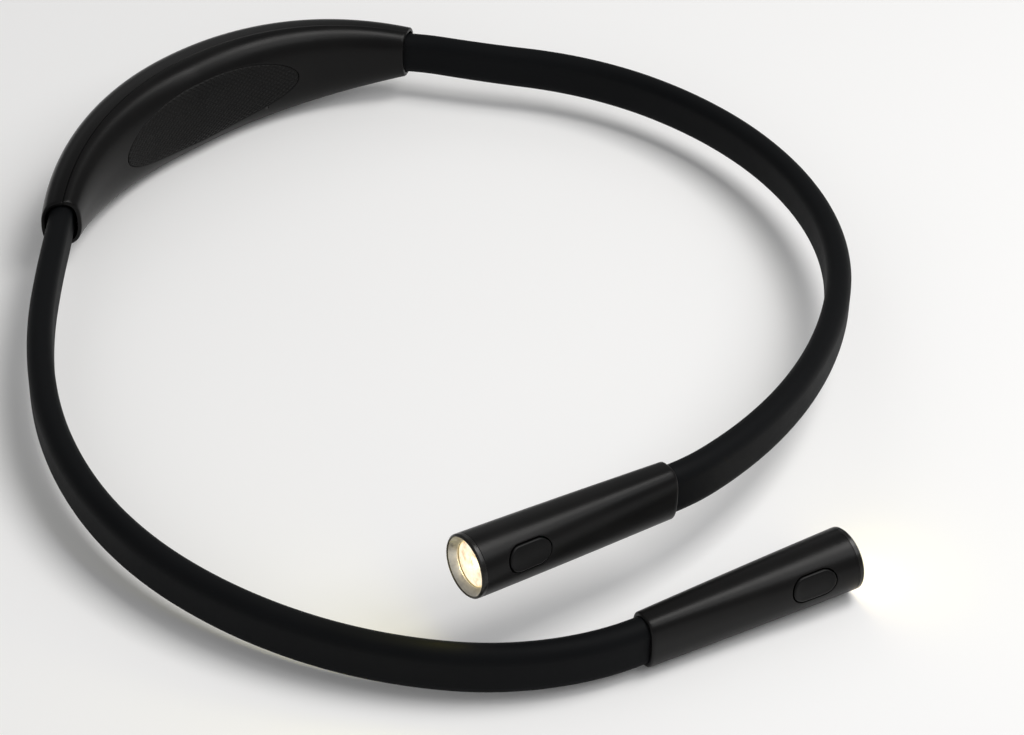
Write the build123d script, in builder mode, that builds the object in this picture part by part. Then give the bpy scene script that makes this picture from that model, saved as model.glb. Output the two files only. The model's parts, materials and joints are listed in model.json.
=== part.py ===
from build123d import *
import os
from math import sin, cos, tan, radians, copysign

os.makedirs("parts", exist_ok=True)

# Hands-free reading light, worn round the neck, lying on a table.
# Millimetres, +Z up. The table is z = 0 and the origin is the middle of the footprint.
# The battery pod is at +Y, its neck side faces -Y, and the arms open towards -Y.
# Left and right are the wearer's: the left arm leaves the pod at +X, the right at -X.

# ---------------------------------------------------------------- driving sizes
# pod: a crescent about an arc in plan, its spine
POD_X, POD_Y = 13.806, 130.563     # middle of the spine arc
POD_R = 87.85                   # plan radius of the spine
POD_HALF_ANGLE = 46.0
POD_Z = 14.2                    # height of the spine above the table
POD_HEIGHT_MID, POD_HEIGHT_END = 14.6, 7.1   # half heights
POD_DEPTH_MID, POD_DEPTH_END = 9.15, 5.2     # half depths, front to back
POD_SHIFT = 0.65                # how far the thicker middle leans to the neck
MOUTH_LEAN = 14.0               # each mouth is cut back this much on the neck side
POD_SQUARE = 2.6                # exponent of the rounded section
POD_WALL_MID, POD_WALL_END = 1.6, 0.9
# the covers meet on an arc a little to the neck side of each section's middle
PARTING, PARTING_END = -3.6, -1.0   # outside the spine, at the middle and the ends
SEAM = 0.1

# oval pad on the neck side
PAD_LENGTH, PAD_HEIGHT, PAD_Z = 62.0, 19.0, 14.4
PAD_DEPTH, PAD_PROUD = 0.75, 0.12

# arms
# depth and height of the sleeve's five lengths, from the pod to the head
ARM_SIZES = ((6.2, 11.6), (6.5, 12.3), (6.8, 12.9), (6.9, 13.2), (6.9, 13.2))
BORE_DEPTH, BORE_HEIGHT, BORE_ROUND = 3.2, 8.8, 1.55
SPINE_D = 2.4
LEAD_D, LEAD_RISE = 1.6, 3.0
KNUCKLE_R, AIM_KNUCKLE_R, KNUCKLE_GAP = 3.7, 6.4, 0.1
SPINE_SHORT, SPINE_LATE = 0.35, 0.35   # the rod is cut at each knuckle's face
BEND_NOTCH, AIM_NOTCH = 31.5, 24.0   # half angle of the notch each side of a bend
INSIDE_POD = 20.0               # the arm's line starts this far inside the pod

# heads
HEAD_LENGTH, HEAD_D = 58.4, 16.0
HEAD_REAR_HEIGHT, HEAD_REAR_DEPTH = 14.8, 9.3
HEAD_WALL = 1.1
SLEEVE_IN_HEAD = 12.0
BUTTON_LENGTH, BUTTON_WIDTH, BUTTON_GAP = 11.6, 7.1, 0.2
BUTTON_FROM_FRONT, BUTTON_UP = 14.0, 19.0
BUTTON_PROUD, BUTTON_UNDER = 0.25, 5.75
BUTTON_TRAVEL = 0.4


# ---------------------------------------------------------------- pod geometry
def oval(half_x, half_y, square, count=24):
    """Points of a rounded oval; square 2 is an ellipse, more is squarer."""
    points = []
    for k in range(count):
        t = radians(360 * (k + 0.5) / count)
        c, s = cos(t), sin(t)
        points.append(
            (
                copysign(abs(c) ** (2 / square), c) * half_x,
                copysign(abs(s) ** (2 / square), s) * half_y,
            )
        )
    return points


def pod_section(u, inset=0.0):
    """One cross-section of the pod, u from -1 at one end to 1 at the other."""
    swell = 1 - abs(u) ** 1.3
    half_depth = POD_DEPTH_END + (POD_DEPTH_MID - POD_DEPTH_END) * swell
    half_height = POD_HEIGHT_END + (POD_HEIGHT_MID - POD_HEIGHT_END) * (
        1 - abs(u) ** 2.3
    )
    th = radians(POD_HALF_ANGLE * u)
    r = POD_R - POD_SHIFT * (half_depth - POD_DEPTH_END)
    with BuildSketch(
        Plane(
            origin=(POD_X + r * sin(th), POD_Y - POD_R + r * cos(th), POD_Z),
            x_dir=(sin(th), cos(th), 0),
            z_dir=(cos(th), -sin(th), 0),
        )
    ) as section:
        with BuildLine():
            Spline(
                oval(half_depth - inset, half_height - inset, POD_SQUARE),
                periodic=True,
            )
        make_face()
    return section.sketch


def pod_wall(u):
    return POD_WALL_END + (POD_WALL_MID - POD_WALL_END) * max(0, 1 - u * u)


POD_STATIONS = (-1.04, -0.8, -0.55, -0.28, 0, 0.28, 0.55, 0.8, 1.04)
CAVITY_STATIONS = (-1.06, -0.8, -0.55, -0.28, 0, 0.28, 0.55, 0.8, 1.06)
PAD_STATIONS = (-0.85, -0.7, -0.45, -0.22, 0, 0.22, 0.45, 0.7, 0.85)

# plan arc on which the covers meet
part_end_x = (POD_R + PARTING_END) * sin(radians(POD_HALF_ANGLE))
part_end_y = (POD_R + PARTING_END) * cos(radians(POD_HALF_ANGLE))
part_top = POD_R + PARTING
PART_CENTRE = (part_top**2 - part_end_x**2 - part_end_y**2) / (2 * (part_top - part_end_y))
PART_R = part_top - PART_CENTRE

SCREW_X = 24.7
BOSS_D = 4.6
PORT_Y, PORT_WIDTH, PORT_HEIGHT = 2.45, 9.4, 3.6   # opening of the charging socket


def pod_at(x, y, z):
    """A place given from the middle of the pod's spine in plan, and above the table."""
    return (POD_X + x, POD_Y + y, z)


def facing_neck(x, y, z):
    """Plane whose normal points to the neck, -Y, its x along +X and its y up."""
    return Plane(origin=pod_at(x, y, z), x_dir=(1, 0, 0), z_dir=(0, -1, 0))


def trim_mouths():
    """Cuts both ends of the pod, a little further back on the neck side."""
    th, lean = radians(POD_HALF_ANGLE), radians(MOUTH_LEAN)
    for side in (-1, 1):
        out = (
            side * (cos(th) * cos(lean) - sin(th) * sin(lean)),
            -sin(th) * cos(lean) - cos(th) * sin(lean),
            0,
        )
        place = (POD_X + side * POD_R * sin(th), POD_Y - POD_R + POD_R * cos(th), -5)
        with BuildSketch(Plane(origin=place, x_dir=out, z_dir=(0, 0, 1))) as waste:
            with Locations((10, 0)):
                Rectangle(20, 40)
        extrude(waste.sketch, amount=45, mode=Mode.SUBTRACT)


# the space that the pad's pocket takes out of the neck side
with BuildPart() as pad_pocket:
    with BuildSketch(facing_neck(0, -6.0, PAD_Z)):
        Ellipse(PAD_LENGTH / 2 + 0.12, PAD_HEIGHT / 2 + 0.12)
    extrude(amount=20)
    loft(
        [pod_section(u, PAD_DEPTH + 0.06) for u in PAD_STATIONS], mode=Mode.SUBTRACT
    )

# neck-side cover
with BuildPart() as inner_cover:
    loft([pod_section(u) for u in POD_STATIONS])
    loft([pod_section(u, pod_wall(u)) for u in CAVITY_STATIONS], mode=Mode.SUBTRACT)
    # only what lies on the neck side of the parting face stays
    with BuildSketch(Plane.XY.offset(-5)):
        with Locations((POD_X, POD_Y - POD_R + PART_CENTRE)):
            Circle(PART_R)
    extrude(amount=45, mode=Mode.INTERSECT)
    trim_mouths()
    # screw bosses, under the pad
    for x in (-SCREW_X, SCREW_X):
        with BuildSketch(facing_neck(x, -6.8, POD_Z)):
            Circle(BOSS_D / 2)
        extrude(amount=6.1)
    # shallow pocket that the pad is glued into
    add(pad_pocket.part, mode=Mode.SUBTRACT)
    # countersunk screw holes
    for x in (-SCREW_X, SCREW_X):
        with BuildSketch(facing_neck(x, -4.0, POD_Z)):
            Circle(1.15)
        extrude(amount=14, mode=Mode.SUBTRACT)
        with BuildSketch(facing_neck(x, -11.2, POD_Z)):
            Circle(1.95)
        extrude(amount=6, mode=Mode.SUBTRACT)
    # hole of the light window
    with BuildSketch(facing_neck(21.3, -5.0, 6.4)):
        Circle(0.65)
    extrude(amount=12, mode=Mode.SUBTRACT)
    # the flat that the pod stands on
    with BuildSketch(Plane.XY):
        with Locations((POD_X, POD_Y)):
            Rectangle(200, 100)
    extrude(amount=-5, mode=Mode.SUBTRACT)

# rear cover
with BuildPart() as outer_cover:
    loft([pod_section(u) for u in POD_STATIONS])
    loft([pod_section(u, pod_wall(u)) for u in CAVITY_STATIONS], mode=Mode.SUBTRACT)
    with BuildSketch(Plane.XY.offset(-5)):
        with Locations((POD_X, POD_Y - POD_R + PART_CENTRE)):
            Circle(PART_R + SEAM)
    extrude(amount=45, mode=Mode.SUBTRACT)
    trim_mouths()
    # screw bosses and the four posts that the board is pressed against
    for x in (-SCREW_X, SCREW_X):
        with BuildSketch(facing_neck(x, 1.2, POD_Z)):
            Circle(BOSS_D / 2)
            Circle(1.02, mode=Mode.SUBTRACT)
        extrude(amount=7.8)
    for x, z in ((-14, 9), (-14, 15), (14, 9), (14, 15)):
        with BuildSketch(facing_neck(x, 4.7, z)):
            Circle(1.1)
        extrude(amount=3.85)
    # charging port, and the flat that the pod stands on
    with BuildSketch(Plane.XY.offset(-3)):
        with Locations((POD_X, POD_Y + PORT_Y)):
            RectangleRounded(PORT_WIDTH, PORT_HEIGHT, 1.7)
    extrude(amount=12, mode=Mode.SUBTRACT)
    with BuildSketch(Plane.XY):
        with Locations((POD_X, POD_Y)):
            Rectangle(200, 100)
    extrude(amount=-5, mode=Mode.SUBTRACT)

# soft oval pad, glued over the screws
with BuildPart() as neck_pad:
    loft([pod_section(u, -PAD_PROUD) for u in PAD_STATIONS])
    loft(
        [
            pod_section(u, PAD_DEPTH)
            for u in (-0.87, -0.7, -0.45, -0.22, 0, 0.22, 0.45, 0.7, 0.87)
        ],
        mode=Mode.SUBTRACT,
    )
    with BuildSketch(facing_neck(0, -6.0, PAD_Z)):
        Ellipse(PAD_LENGTH / 2, PAD_HEIGHT / 2)
    extrude(amount=20, mode=Mode.INTERSECT)

# two self-tapping screws with countersunk heads
with BuildPart() as cover_screws:
    for x in (-SCREW_X, SCREW_X):
        with BuildSketch(facing_neck(x, -1.6, POD_Z)):
            Circle(1.0)
        extrude(amount=10.0)
        with BuildSketch(facing_neck(x, -11.25, POD_Z)):
            Circle(1.8)
        extrude(amount=0.8)
        with BuildSketch(facing_neck(x, -11.7, POD_Z)):
            Rectangle(2.2, 0.5)
            Rectangle(0.5, 2.2)
        extrude(amount=1, mode=Mode.SUBTRACT)

# flat pouch cell, its foam tape and its two wires
with BuildPart() as battery:
    with BuildSketch(facing_neck(0, -0.8, 14.2)):
        RectangleRounded(40, 16, 1.2)
    extrude(amount=7.4)
    fillet(battery.edges().filter_by(GeomType.LINE).filter_by(Axis.X), 1.4)

with BuildPart() as battery_tape:
    with BuildSketch(facing_neck(0, -0.22, 14.2)):
        Rectangle(32, 9)
    extrude(amount=0.56)

with BuildPart() as battery_wires:
    for z in (19.35, 20.45):
        with BuildLine(Plane(origin=pod_at(0, 0, z))) as route:
            Line((-20.05, -4.3), (-20.8, -4.3))
            ThreePointArc((-20.8, -4.3), (-20.8 - 2.82, -1.48), (-20.8, 1.34))
            Line((-20.8, 1.34), (-16.4, 1.34))
        with BuildSketch(
            Plane(origin=pod_at(-20.05, -4.3, z), x_dir=(0, 1, 0), z_dir=(-1, 0, 0))
        ):
            Circle(0.5)
        sweep()

# control board, standing on edge behind the cell
with BuildPart() as control_board:
    with BuildSketch(facing_neck(0, 0.8, 13.3)):
        RectangleRounded(34, 15.4, 1.0)
        # the low end that carries the charge light
        with Locations((18.1, -4.3)):
            RectangleRounded(7.8, 6.0, 0.9)
    extrude(amount=1.0)

with BuildPart() as board_components:
    for x, z, width, height, rise in (
        (6.5, 14.8, 4.2, 4.2, 0.9),
        (-6.5, 14.5, 5.0, 4.2, 1.1),
        (0.3, 14.0, 3.2, 3.2, 1.5),
        (-10.2, 12.6, 1.6, 0.9, 0.7),
        (10.4, 12.0, 1.6, 0.9, 0.7),
        (3.0, 10.6, 2.0, 1.2, 0.8),
        (-3.4, 10.6, 2.0, 1.2, 0.8),
        (10.6, 16.2, 1.2, 2.0, 0.8),
        (18.4, 10.5, 2.4, 2.4, 0.9),
    ):
        with BuildSketch(facing_neck(x, 0.8 + rise, z)):
            Rectangle(width, height)
        extrude(amount=rise)

# charging socket, its mouth at the bottom of the pod
with BuildPart() as usb_socket:
    with BuildSketch(Plane(origin=pod_at(0, PORT_Y, 1.5))):
        RectangleRounded(8.9, 3.2, 1.55)
        RectangleRounded(8.3, 2.6, 1.25, mode=Mode.SUBTRACT)
    extrude(amount=7.2)
    with BuildSketch(Plane(origin=pod_at(0, PORT_Y, 7.9))):
        RectangleRounded(8.6, 2.9, 1.4)
    extrude(amount=0.8)
    # the tongue in its middle
    with BuildSketch(Plane(origin=pod_at(0, PORT_Y, 2.6))):
        Rectangle(6.7, 0.7)
    extrude(amount=5.5)

with BuildPart() as charge_led:
    with BuildSketch(facing_neck(21.3, -0.2, 6.4)):
        Rectangle(1.4, 0.8)
    extrude(amount=0.6)

# clear rod that brings the charge light to the neck side
with BuildPart() as light_window:
    with BuildSketch(facing_neck(21.3, -0.9, 6.4)):
        Circle(0.6)
    extrude(amount=11.3)


# ---------------------------------------------------------------- arm geometry
class Arm:
    """An arm's centreline: tangent arcs in a slightly tilted plane of its own.

    runs are (length, turn in degrees, + to the left), from inside the pod
    outwards. bends are the stations of the bends, aim that of the bend
    behind the head, and head the station where the head begins.
    """

    def __init__(self, z0, slope_x, slope_y, side, runs, bends, aim, head):
        self.plane = Plane(
            origin=(POD_X, POD_Y, z0),
            x_dir=(1, 0, slope_x),
            z_dir=(-slope_x, -slope_y, 1),
        )
        self.side, self.runs = side, runs
        self.bends, self.aim, self.head = bends, aim, head

    def start(self):
        th = radians(POD_HALF_ANGLE) - INSIDE_POD / POD_R
        x, y = self.side * POD_R * sin(th), POD_R * cos(th) - POD_R
        heading = -th if self.side > 0 else th - radians(180)
        return x, y, heading

    def at(self, s):
        """Place and heading in the arm's plane at station s."""
        x, y, heading = self.start()
        for length, turn in self.runs:
            step = min(s, length)
            k = radians(turn) / length
            if abs(k) < 1e-9:
                x, y = x + step * cos(heading), y + step * sin(heading)
            else:
                x += (sin(heading + k * step) - sin(heading)) / k
                y -= (cos(heading + k * step) - cos(heading)) / k
            heading += k * step
            s -= step
            if s <= 1e-9:
                break
        return x, y, heading

    def path(self, s0, s1):
        """Tangent arcs from station s0 to s1, in the current line builder."""
        done = 0.0
        for length, turn in self.runs:
            a, b = max(s0, done), min(s1, done + length)
            done += length
            if b - a < 1e-6:
                continue
            p, m, q = self.at(a), self.at((a + b) / 2), self.at(b)
            if abs(turn) < 1e-6:
                Line(p[:2], q[:2])
            else:
                ThreePointArc(p[:2], m[:2], q[:2])

    def frame(self, s):
        """Global place, forward, leftward and upward directions at station s."""
        x, y, heading = self.at(s)
        place = self.plane.from_local_coords(Vector(x, y, 0))
        forward = (
            self.plane.from_local_coords(Vector(x + cos(heading), y + sin(heading), 0))
            - place
        )
        leftward = (
            self.plane.from_local_coords(Vector(x - sin(heading), y + cos(heading), 0))
            - place
        )
        return place, forward, leftward, self.plane.z_dir

    def across(self, s, rise=0.0):
        """Plane of the section at s: its x leftward, its y upward."""
        place, forward, leftward, up = self.frame(s)
        return Plane(origin=place + up * rise, x_dir=leftward, z_dir=forward)

    def bend_plane(self, s):
        """Plane of a sideways bend at s: its x forward, its normal upward."""
        place, forward, leftward, up = self.frame(s)
        return Plane(origin=place, x_dir=forward, z_dir=up)

    def aim_plane(self, s):
        """Plane of an up and down bend at s: its x forward, its y upward."""
        place, forward, leftward, up = self.frame(s)
        return Plane(origin=place, x_dir=forward, z_dir=leftward * -1)


RIGHT = Arm(
    z0=14.956862,
    slope_x=0.005996,
    slope_y=0.026419,
    side=-1,
    runs=(
        (20.0, 13.044),
        (10.0, -1.771),
        (25.0, 2.801),
        (40.0, 12.204),
        (40.0, 18.075),
        (37.0, 19.048),
        (38.0, 17.056),
        (35.0, 17.428),
        (32.895, 24.474),
        (14.0, 11.892),
        (60.0, 0.0),
    ),
    bends=(55.0, 135.0, 210.0),
    aim=277.895,
    head=291.895,
)
LEFT = Arm(
    z0=17.957586,
    slope_x=-0.074183,
    slope_y=-0.022511,
    side=1,
    runs=(
        (20.0, -13.044),
        (10.0, -11.943),
        (25.0, 4.477),
        (40.0, -25.557),
        (40.0, -21.173),
        (40.0, -20.557),
        (42.0, -22.436),
        (41.0, -16.202),
        (42.292, -17.297),
        (14.0, -12.509),
        (60.0, 0.0),
    ),
    bends=(55.0, 135.0, 217.0),
    aim=300.292,
    head=314.292,
)
SLEEVE_START = INSIDE_POD - 8.0   # the sleeve reaches 8 mm into the pod


def knuckle_end(plane, radius, reach):
    """Rounds the far end of a length about a bend's axis."""
    with BuildSketch(plane) as waste:
        with Locations((10, 0)):
            Rectangle(20, 2 * reach)
        Circle(radius, mode=Mode.SUBTRACT)
    extrude(waste.sketch, amount=reach, both=True, mode=Mode.SUBTRACT)


def socket_end(plane, radius, notch, reach):
    """Hollows the near end of the next length to fit, with a notch each side."""
    lean = (reach - 0.0) * tan(radians(notch))
    with BuildSketch(plane) as waste:
        with BuildLine():
            Polyline(
                (-12, -reach),
                (lean + KNUCKLE_GAP, -reach),
                (KNUCKLE_GAP, 0),
                (lean + KNUCKLE_GAP, reach),
                (-12, reach),
                close=True,
            )
        make_face()
        Circle(radius + KNUCKLE_GAP)
    extrude(waste.sketch, amount=reach, both=True, mode=Mode.SUBTRACT)


def sleeve_length(arm, s0, s1, size, near=None, far=None):
    """One length of the soft sleeve. near and far are 'bend', 'aim' or None."""
    depth, height = size
    with BuildPart() as piece:
        with BuildLine(arm.plane):
            arm.path(s0 - (0.6 if near else 0), s1 + {"bend": 4.5, "aim": 7.6}.get(far, 0))
        with BuildSketch(arm.across(s0 - (0.6 if near else 0))):
            RectangleRounded(depth, height, depth / 2 - 0.05)
            RectangleRounded(BORE_DEPTH, BORE_HEIGHT, BORE_ROUND, mode=Mode.SUBTRACT)
        sweep()
        if near == "bend":
            socket_end(arm.bend_plane(s0), KNUCKLE_R, BEND_NOTCH, 9)
        if near == "aim":
            socket_end(arm.aim_plane(s0), AIM_KNUCKLE_R, AIM_NOTCH, 9)
        if far == "bend":
            knuckle_end(arm.bend_plane(s1), KNUCKLE_R, 9)
        if far == "aim":
            knuckle_end(arm.aim_plane(s1), AIM_KNUCKLE_R, 9)
    return piece


def spine_length(arm, s0, s1):
    """One length of the soft steel rod that holds the arm's shape."""
    with BuildPart() as piece:
        with BuildLine(arm.plane):
            arm.path(s0, s1)
        with BuildSketch(arm.across(s0)):
            Circle(SPINE_D / 2)
        sweep()
    return piece


def leads(arm):
    """The pair of leads in one jacket, from the control board to the switch board."""
    x, y, heading = arm.start()
    # from the end of the board the jacket runs straight out, then turns on to the arm's line
    begin_x, begin_y, turn_r = arm.side * 15.5, 1.65, 26.0
    t = (begin_y - y) / -sin(heading)
    corner_x = x - t * cos(heading)
    turn = radians(POD_HALF_ANGLE) - INSIDE_POD / POD_R
    tangent = turn_r * tan(turn / 2)
    arc_x = corner_x - arm.side * tangent
    mid_turn = turn / 2
    with BuildPart() as piece:
        with BuildLine(arm.plane.offset(LEAD_RISE)):
            Line((begin_x, begin_y), (arc_x, begin_y))
            ThreePointArc(
                (arc_x, begin_y),
                (
                    arc_x + arm.side * turn_r * sin(mid_turn),
                    begin_y - turn_r * (1 - cos(mid_turn)),
                ),
                (
                    arc_x + arm.side * turn_r * sin(turn),
                    begin_y - turn_r * (1 - cos(turn)),
                ),
            )
            Line(
                (
                    arc_x + arm.side * turn_r * sin(turn),
                    begin_y - turn_r * (1 - cos(turn)),
                ),
                (x, y),
            )
            arm.path(0, arm.head + 35.5)
        place = arm.plane.from_local_coords(Vector(begin_x, begin_y, LEAD_RISE))
        ahead = (
            arm.plane.from_local_coords(Vector(begin_x + arm.side, begin_y, LEAD_RISE))
            - place
        )
        with BuildSketch(Plane(origin=place, x_dir=(0, 1, 0), z_dir=ahead)):
            Circle(LEAD_D / 2)
        sweep()
    return piece


def arm_clamp(arm):
    """Block at the pod's end that grips the spine rod; the leads pass through it."""
    with BuildPart() as piece:
        with BuildLine(arm.plane):
            arm.path(3.0, 10.5)
        with BuildSketch(arm.across(3.0)):
            RectangleRounded(7.2, 13.0, 2.6)
            Circle(SPINE_D / 2 + 0.02, mode=Mode.SUBTRACT)
            with Locations((0, LEAD_RISE)):
                Circle(LEAD_D / 2 + 0.35, mode=Mode.SUBTRACT)
        sweep()
    return piece


# ---------------------------------------------------------------- head geometry
def head_section(arm, x, grow=0.0):
    """Cross-section of a head x from its rear; an oval there, a circle in front."""
    k = x / HEAD_LENGTH
    half_depth = HEAD_REAR_DEPTH / 2 + (HEAD_D - HEAD_REAR_DEPTH) / 2 * k
    half_height = HEAD_REAR_HEIGHT / 2 + (HEAD_D - HEAD_REAR_HEIGHT) / 2 * k
    with BuildSketch(arm.across(arm.head).offset(x)) as section:
        with BuildLine():
            Spline(
                oval(half_depth + grow, half_height + grow, 2.9 - 0.9 * k),
                periodic=True,
            )
        make_face()
    return section.sketch


def button_plane(arm, r=0.0):
    """Plane square to the button's travel, r from the head's axis: x forward."""
    place, forward, leftward, up = arm.frame(arm.head)
    outward = leftward * (arm.side * cos(radians(BUTTON_UP))) + up * sin(
        radians(BUTTON_UP)
    )
    place = place + forward * (HEAD_LENGTH - BUTTON_FROM_FRONT) + outward * r
    return Plane(origin=place, x_dir=forward, z_dir=outward)


def turned(arm, points):
    """A turned piece: points are (distance behind the front, radius)."""
    place, forward, leftward, up = arm.frame(arm.head)
    front = place + forward * HEAD_LENGTH
    plane = Plane(origin=front, x_dir=forward * -1, z_dir=leftward)
    with BuildSketch(plane) as profile:
        with BuildLine():
            Polyline(*points, close=True)
        make_face()
    revolve(profile.sketch, axis=Axis(front, forward))


BEZEL = 1.5
HEAD_STATIONS = (0, 14, 30, 45, HEAD_LENGTH)


def head_shell(arm):
    with BuildPart() as piece:
        loft([head_section(arm, x) for x in HEAD_STATIONS])
        loft(
            [
                head_section(arm, x, -HEAD_WALL)
                for x in (-1, 14, 30, 45, HEAD_LENGTH - 4.2)
            ],
            mode=Mode.SUBTRACT,
        )
        # front bore, and the end that the bezel covers
        with BuildSketch(arm.across(arm.head).offset(HEAD_LENGTH - 4.4)):
            Circle(6.95)
        extrude(amount=6, mode=Mode.SUBTRACT)
        with BuildSketch(arm.across(arm.head).offset(HEAD_LENGTH - 3.3)):
            Circle(7.38)
        extrude(amount=6, mode=Mode.SUBTRACT)
        with BuildSketch(arm.across(arm.head).offset(HEAD_LENGTH - BEZEL)):
            Circle(12)
        extrude(amount=4, mode=Mode.SUBTRACT)
        # mouth for the sleeve, a little squarer than the shell
        depth, height = ARM_SIZES[4]
        with BuildSketch(arm.across(arm.head).offset(-1)):
            RectangleRounded(depth + 0.3, height + 0.3, depth / 2 + 0.05)
        extrude(amount=SLEEVE_IN_HEAD + 1.2, mode=Mode.SUBTRACT)
        # window of the button
        with BuildSketch(button_plane(arm, 4.0)):
            SlotOverall(BUTTON_LENGTH + 2 * BUTTON_GAP, BUTTON_WIDTH + 2 * BUTTON_GAP)
        extrude(amount=8, mode=Mode.SUBTRACT)
        # relief in the wall for the cap's rear lip
        with BuildSketch(button_plane(arm, 4.6)):
            with Locations((-4.9, 0)):
                Rectangle(4.4, 2.9)
        extrude(amount=1.38, mode=Mode.SUBTRACT)
    return piece


def head_bezel(arm):
    with BuildPart() as piece:
        turned(
            arm,
            (
                (0.0, 7.38),
                (0.0, 7.56),
                (0.42, 7.98),
                (BEZEL, 7.98),
                (BEZEL, 7.34),
                (3.2, 7.34),
                (3.2, 6.99),
                (1.04, 6.99),
                (1.04, 7.38),
            ),
        )
    return piece


def reflector(arm):
    """Shallow silver cone, with the skirt that holds the lens and the board."""
    with BuildPart() as piece:
        turned(
            arm,
            (
                (0.3, 7.34),
                (1.0, 7.34),
                (1.0, 6.95),
                (3.2, 6.95),
                (3.2, 6.4),
                (6.6, 6.4),
                (6.6, 6.0),
                (2.15, 6.0),
                (2.15, 5.75),
                (1.85, 5.75),
            ),
        )
    return piece


def lens(arm):
    with BuildPart() as piece:
        place, forward, leftward, up = arm.frame(arm.head)
        front = place + forward * HEAD_LENGTH
        crown_r = (5.7**2 + 0.45**2) / (2 * 0.45)
        middle = 1.75 + crown_r - (crown_r**2 - 2.85**2) ** 0.5
        with BuildSketch(Plane(origin=front, x_dir=forward * -1, z_dir=leftward)):
            with BuildLine():
                Line((1.75, 0), (3.4, 0))
                Line((3.4, 0), (3.4, 5.95))
                Line((3.4, 5.95), (2.2, 5.95))
                Line((2.2, 5.95), (2.2, 5.7))
                ThreePointArc((2.2, 5.7), (middle, 2.85), (1.75, 0))
            make_face()
        revolve(axis=Axis(front, forward))
    return piece


def led_board(arm):
    with BuildPart() as piece:
        with BuildSketch(arm.across(arm.head).offset(HEAD_LENGTH - 6.6)):
            Circle(5.95)
        extrude(amount=1.0)
    return piece


def led_chips(arm):
    with BuildPart() as piece:
        with BuildSketch(arm.across(arm.head).offset(HEAD_LENGTH - 5.6)):
            with PolarLocations(2.1, 3, start_angle=90):
                Rectangle(1.9, 1.9)
        extrude(amount=0.7)
    return piece


def switch_board(arm):
    with BuildPart() as piece:
        with BuildSketch(button_plane(arm, -0.4)):
            with Locations((-2.6, 0)):
                RectangleRounded(12.0, 7.0, 0.6)
        extrude(amount=0.8)
    return piece


def tact_switch(arm):
    with BuildPart() as piece:
        with BuildSketch(button_plane(arm, 0.4)):
            RectangleRounded(4.4, 3.4, 0.3)
        extrude(amount=1.8)
        with BuildSketch(button_plane(arm, 1.6)):
            Circle(1.05)
        extrude(amount=2, mode=Mode.SUBTRACT)
    return piece


def switch_stem(arm):
    with BuildPart() as piece:
        with BuildSketch(button_plane(arm, 2.1)):
            Circle(0.9)
        extrude(amount=1.2)
    return piece


def button_cap(arm):
    with BuildPart() as piece:
        loft([head_section(arm, x, BUTTON_PROUD) for x in HEAD_STATIONS])
        with BuildSketch(button_plane(arm, BUTTON_UNDER)):
            SlotOverall(BUTTON_LENGTH, BUTTON_WIDTH)
        extrude(amount=6, mode=Mode.INTERSECT)
        # lips at both ends that keep the cap in, and the post that reaches the switch
        with BuildSketch(button_plane(arm, BUTTON_UNDER)):
            with Locations((4.8, 0)):
                Rectangle(3.6, 2.4)
        extrude(amount=0.4)
        with BuildSketch(button_plane(arm, BUTTON_UNDER - 0.6)):
            with Locations((-4.9, 0)):
                Rectangle(3.8, 2.4)
        extrude(amount=0.65)
        with BuildSketch(button_plane(arm, 3.3)):
            Circle(1.2)
        extrude(amount=BUTTON_UNDER - 3.3 + 0.3)
    return piece


def sleeve_anchor(arm):
    """Block behind the sleeve's end that grips the spine rod inside the head."""
    with BuildPart() as piece:
        with BuildSketch(arm.across(arm.head).offset(SLEEVE_IN_HEAD + 0.4)):
            RectangleRounded(7.4, 12.3, 3.4)
            Circle(SPINE_D / 2 + 0.02, mode=Mode.SUBTRACT)
            with Locations((0, LEAD_RISE)):
                Circle(LEAD_D / 2 + 0.3, mode=Mode.SUBTRACT)
        extrude(amount=5.0)
    return piece


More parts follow.
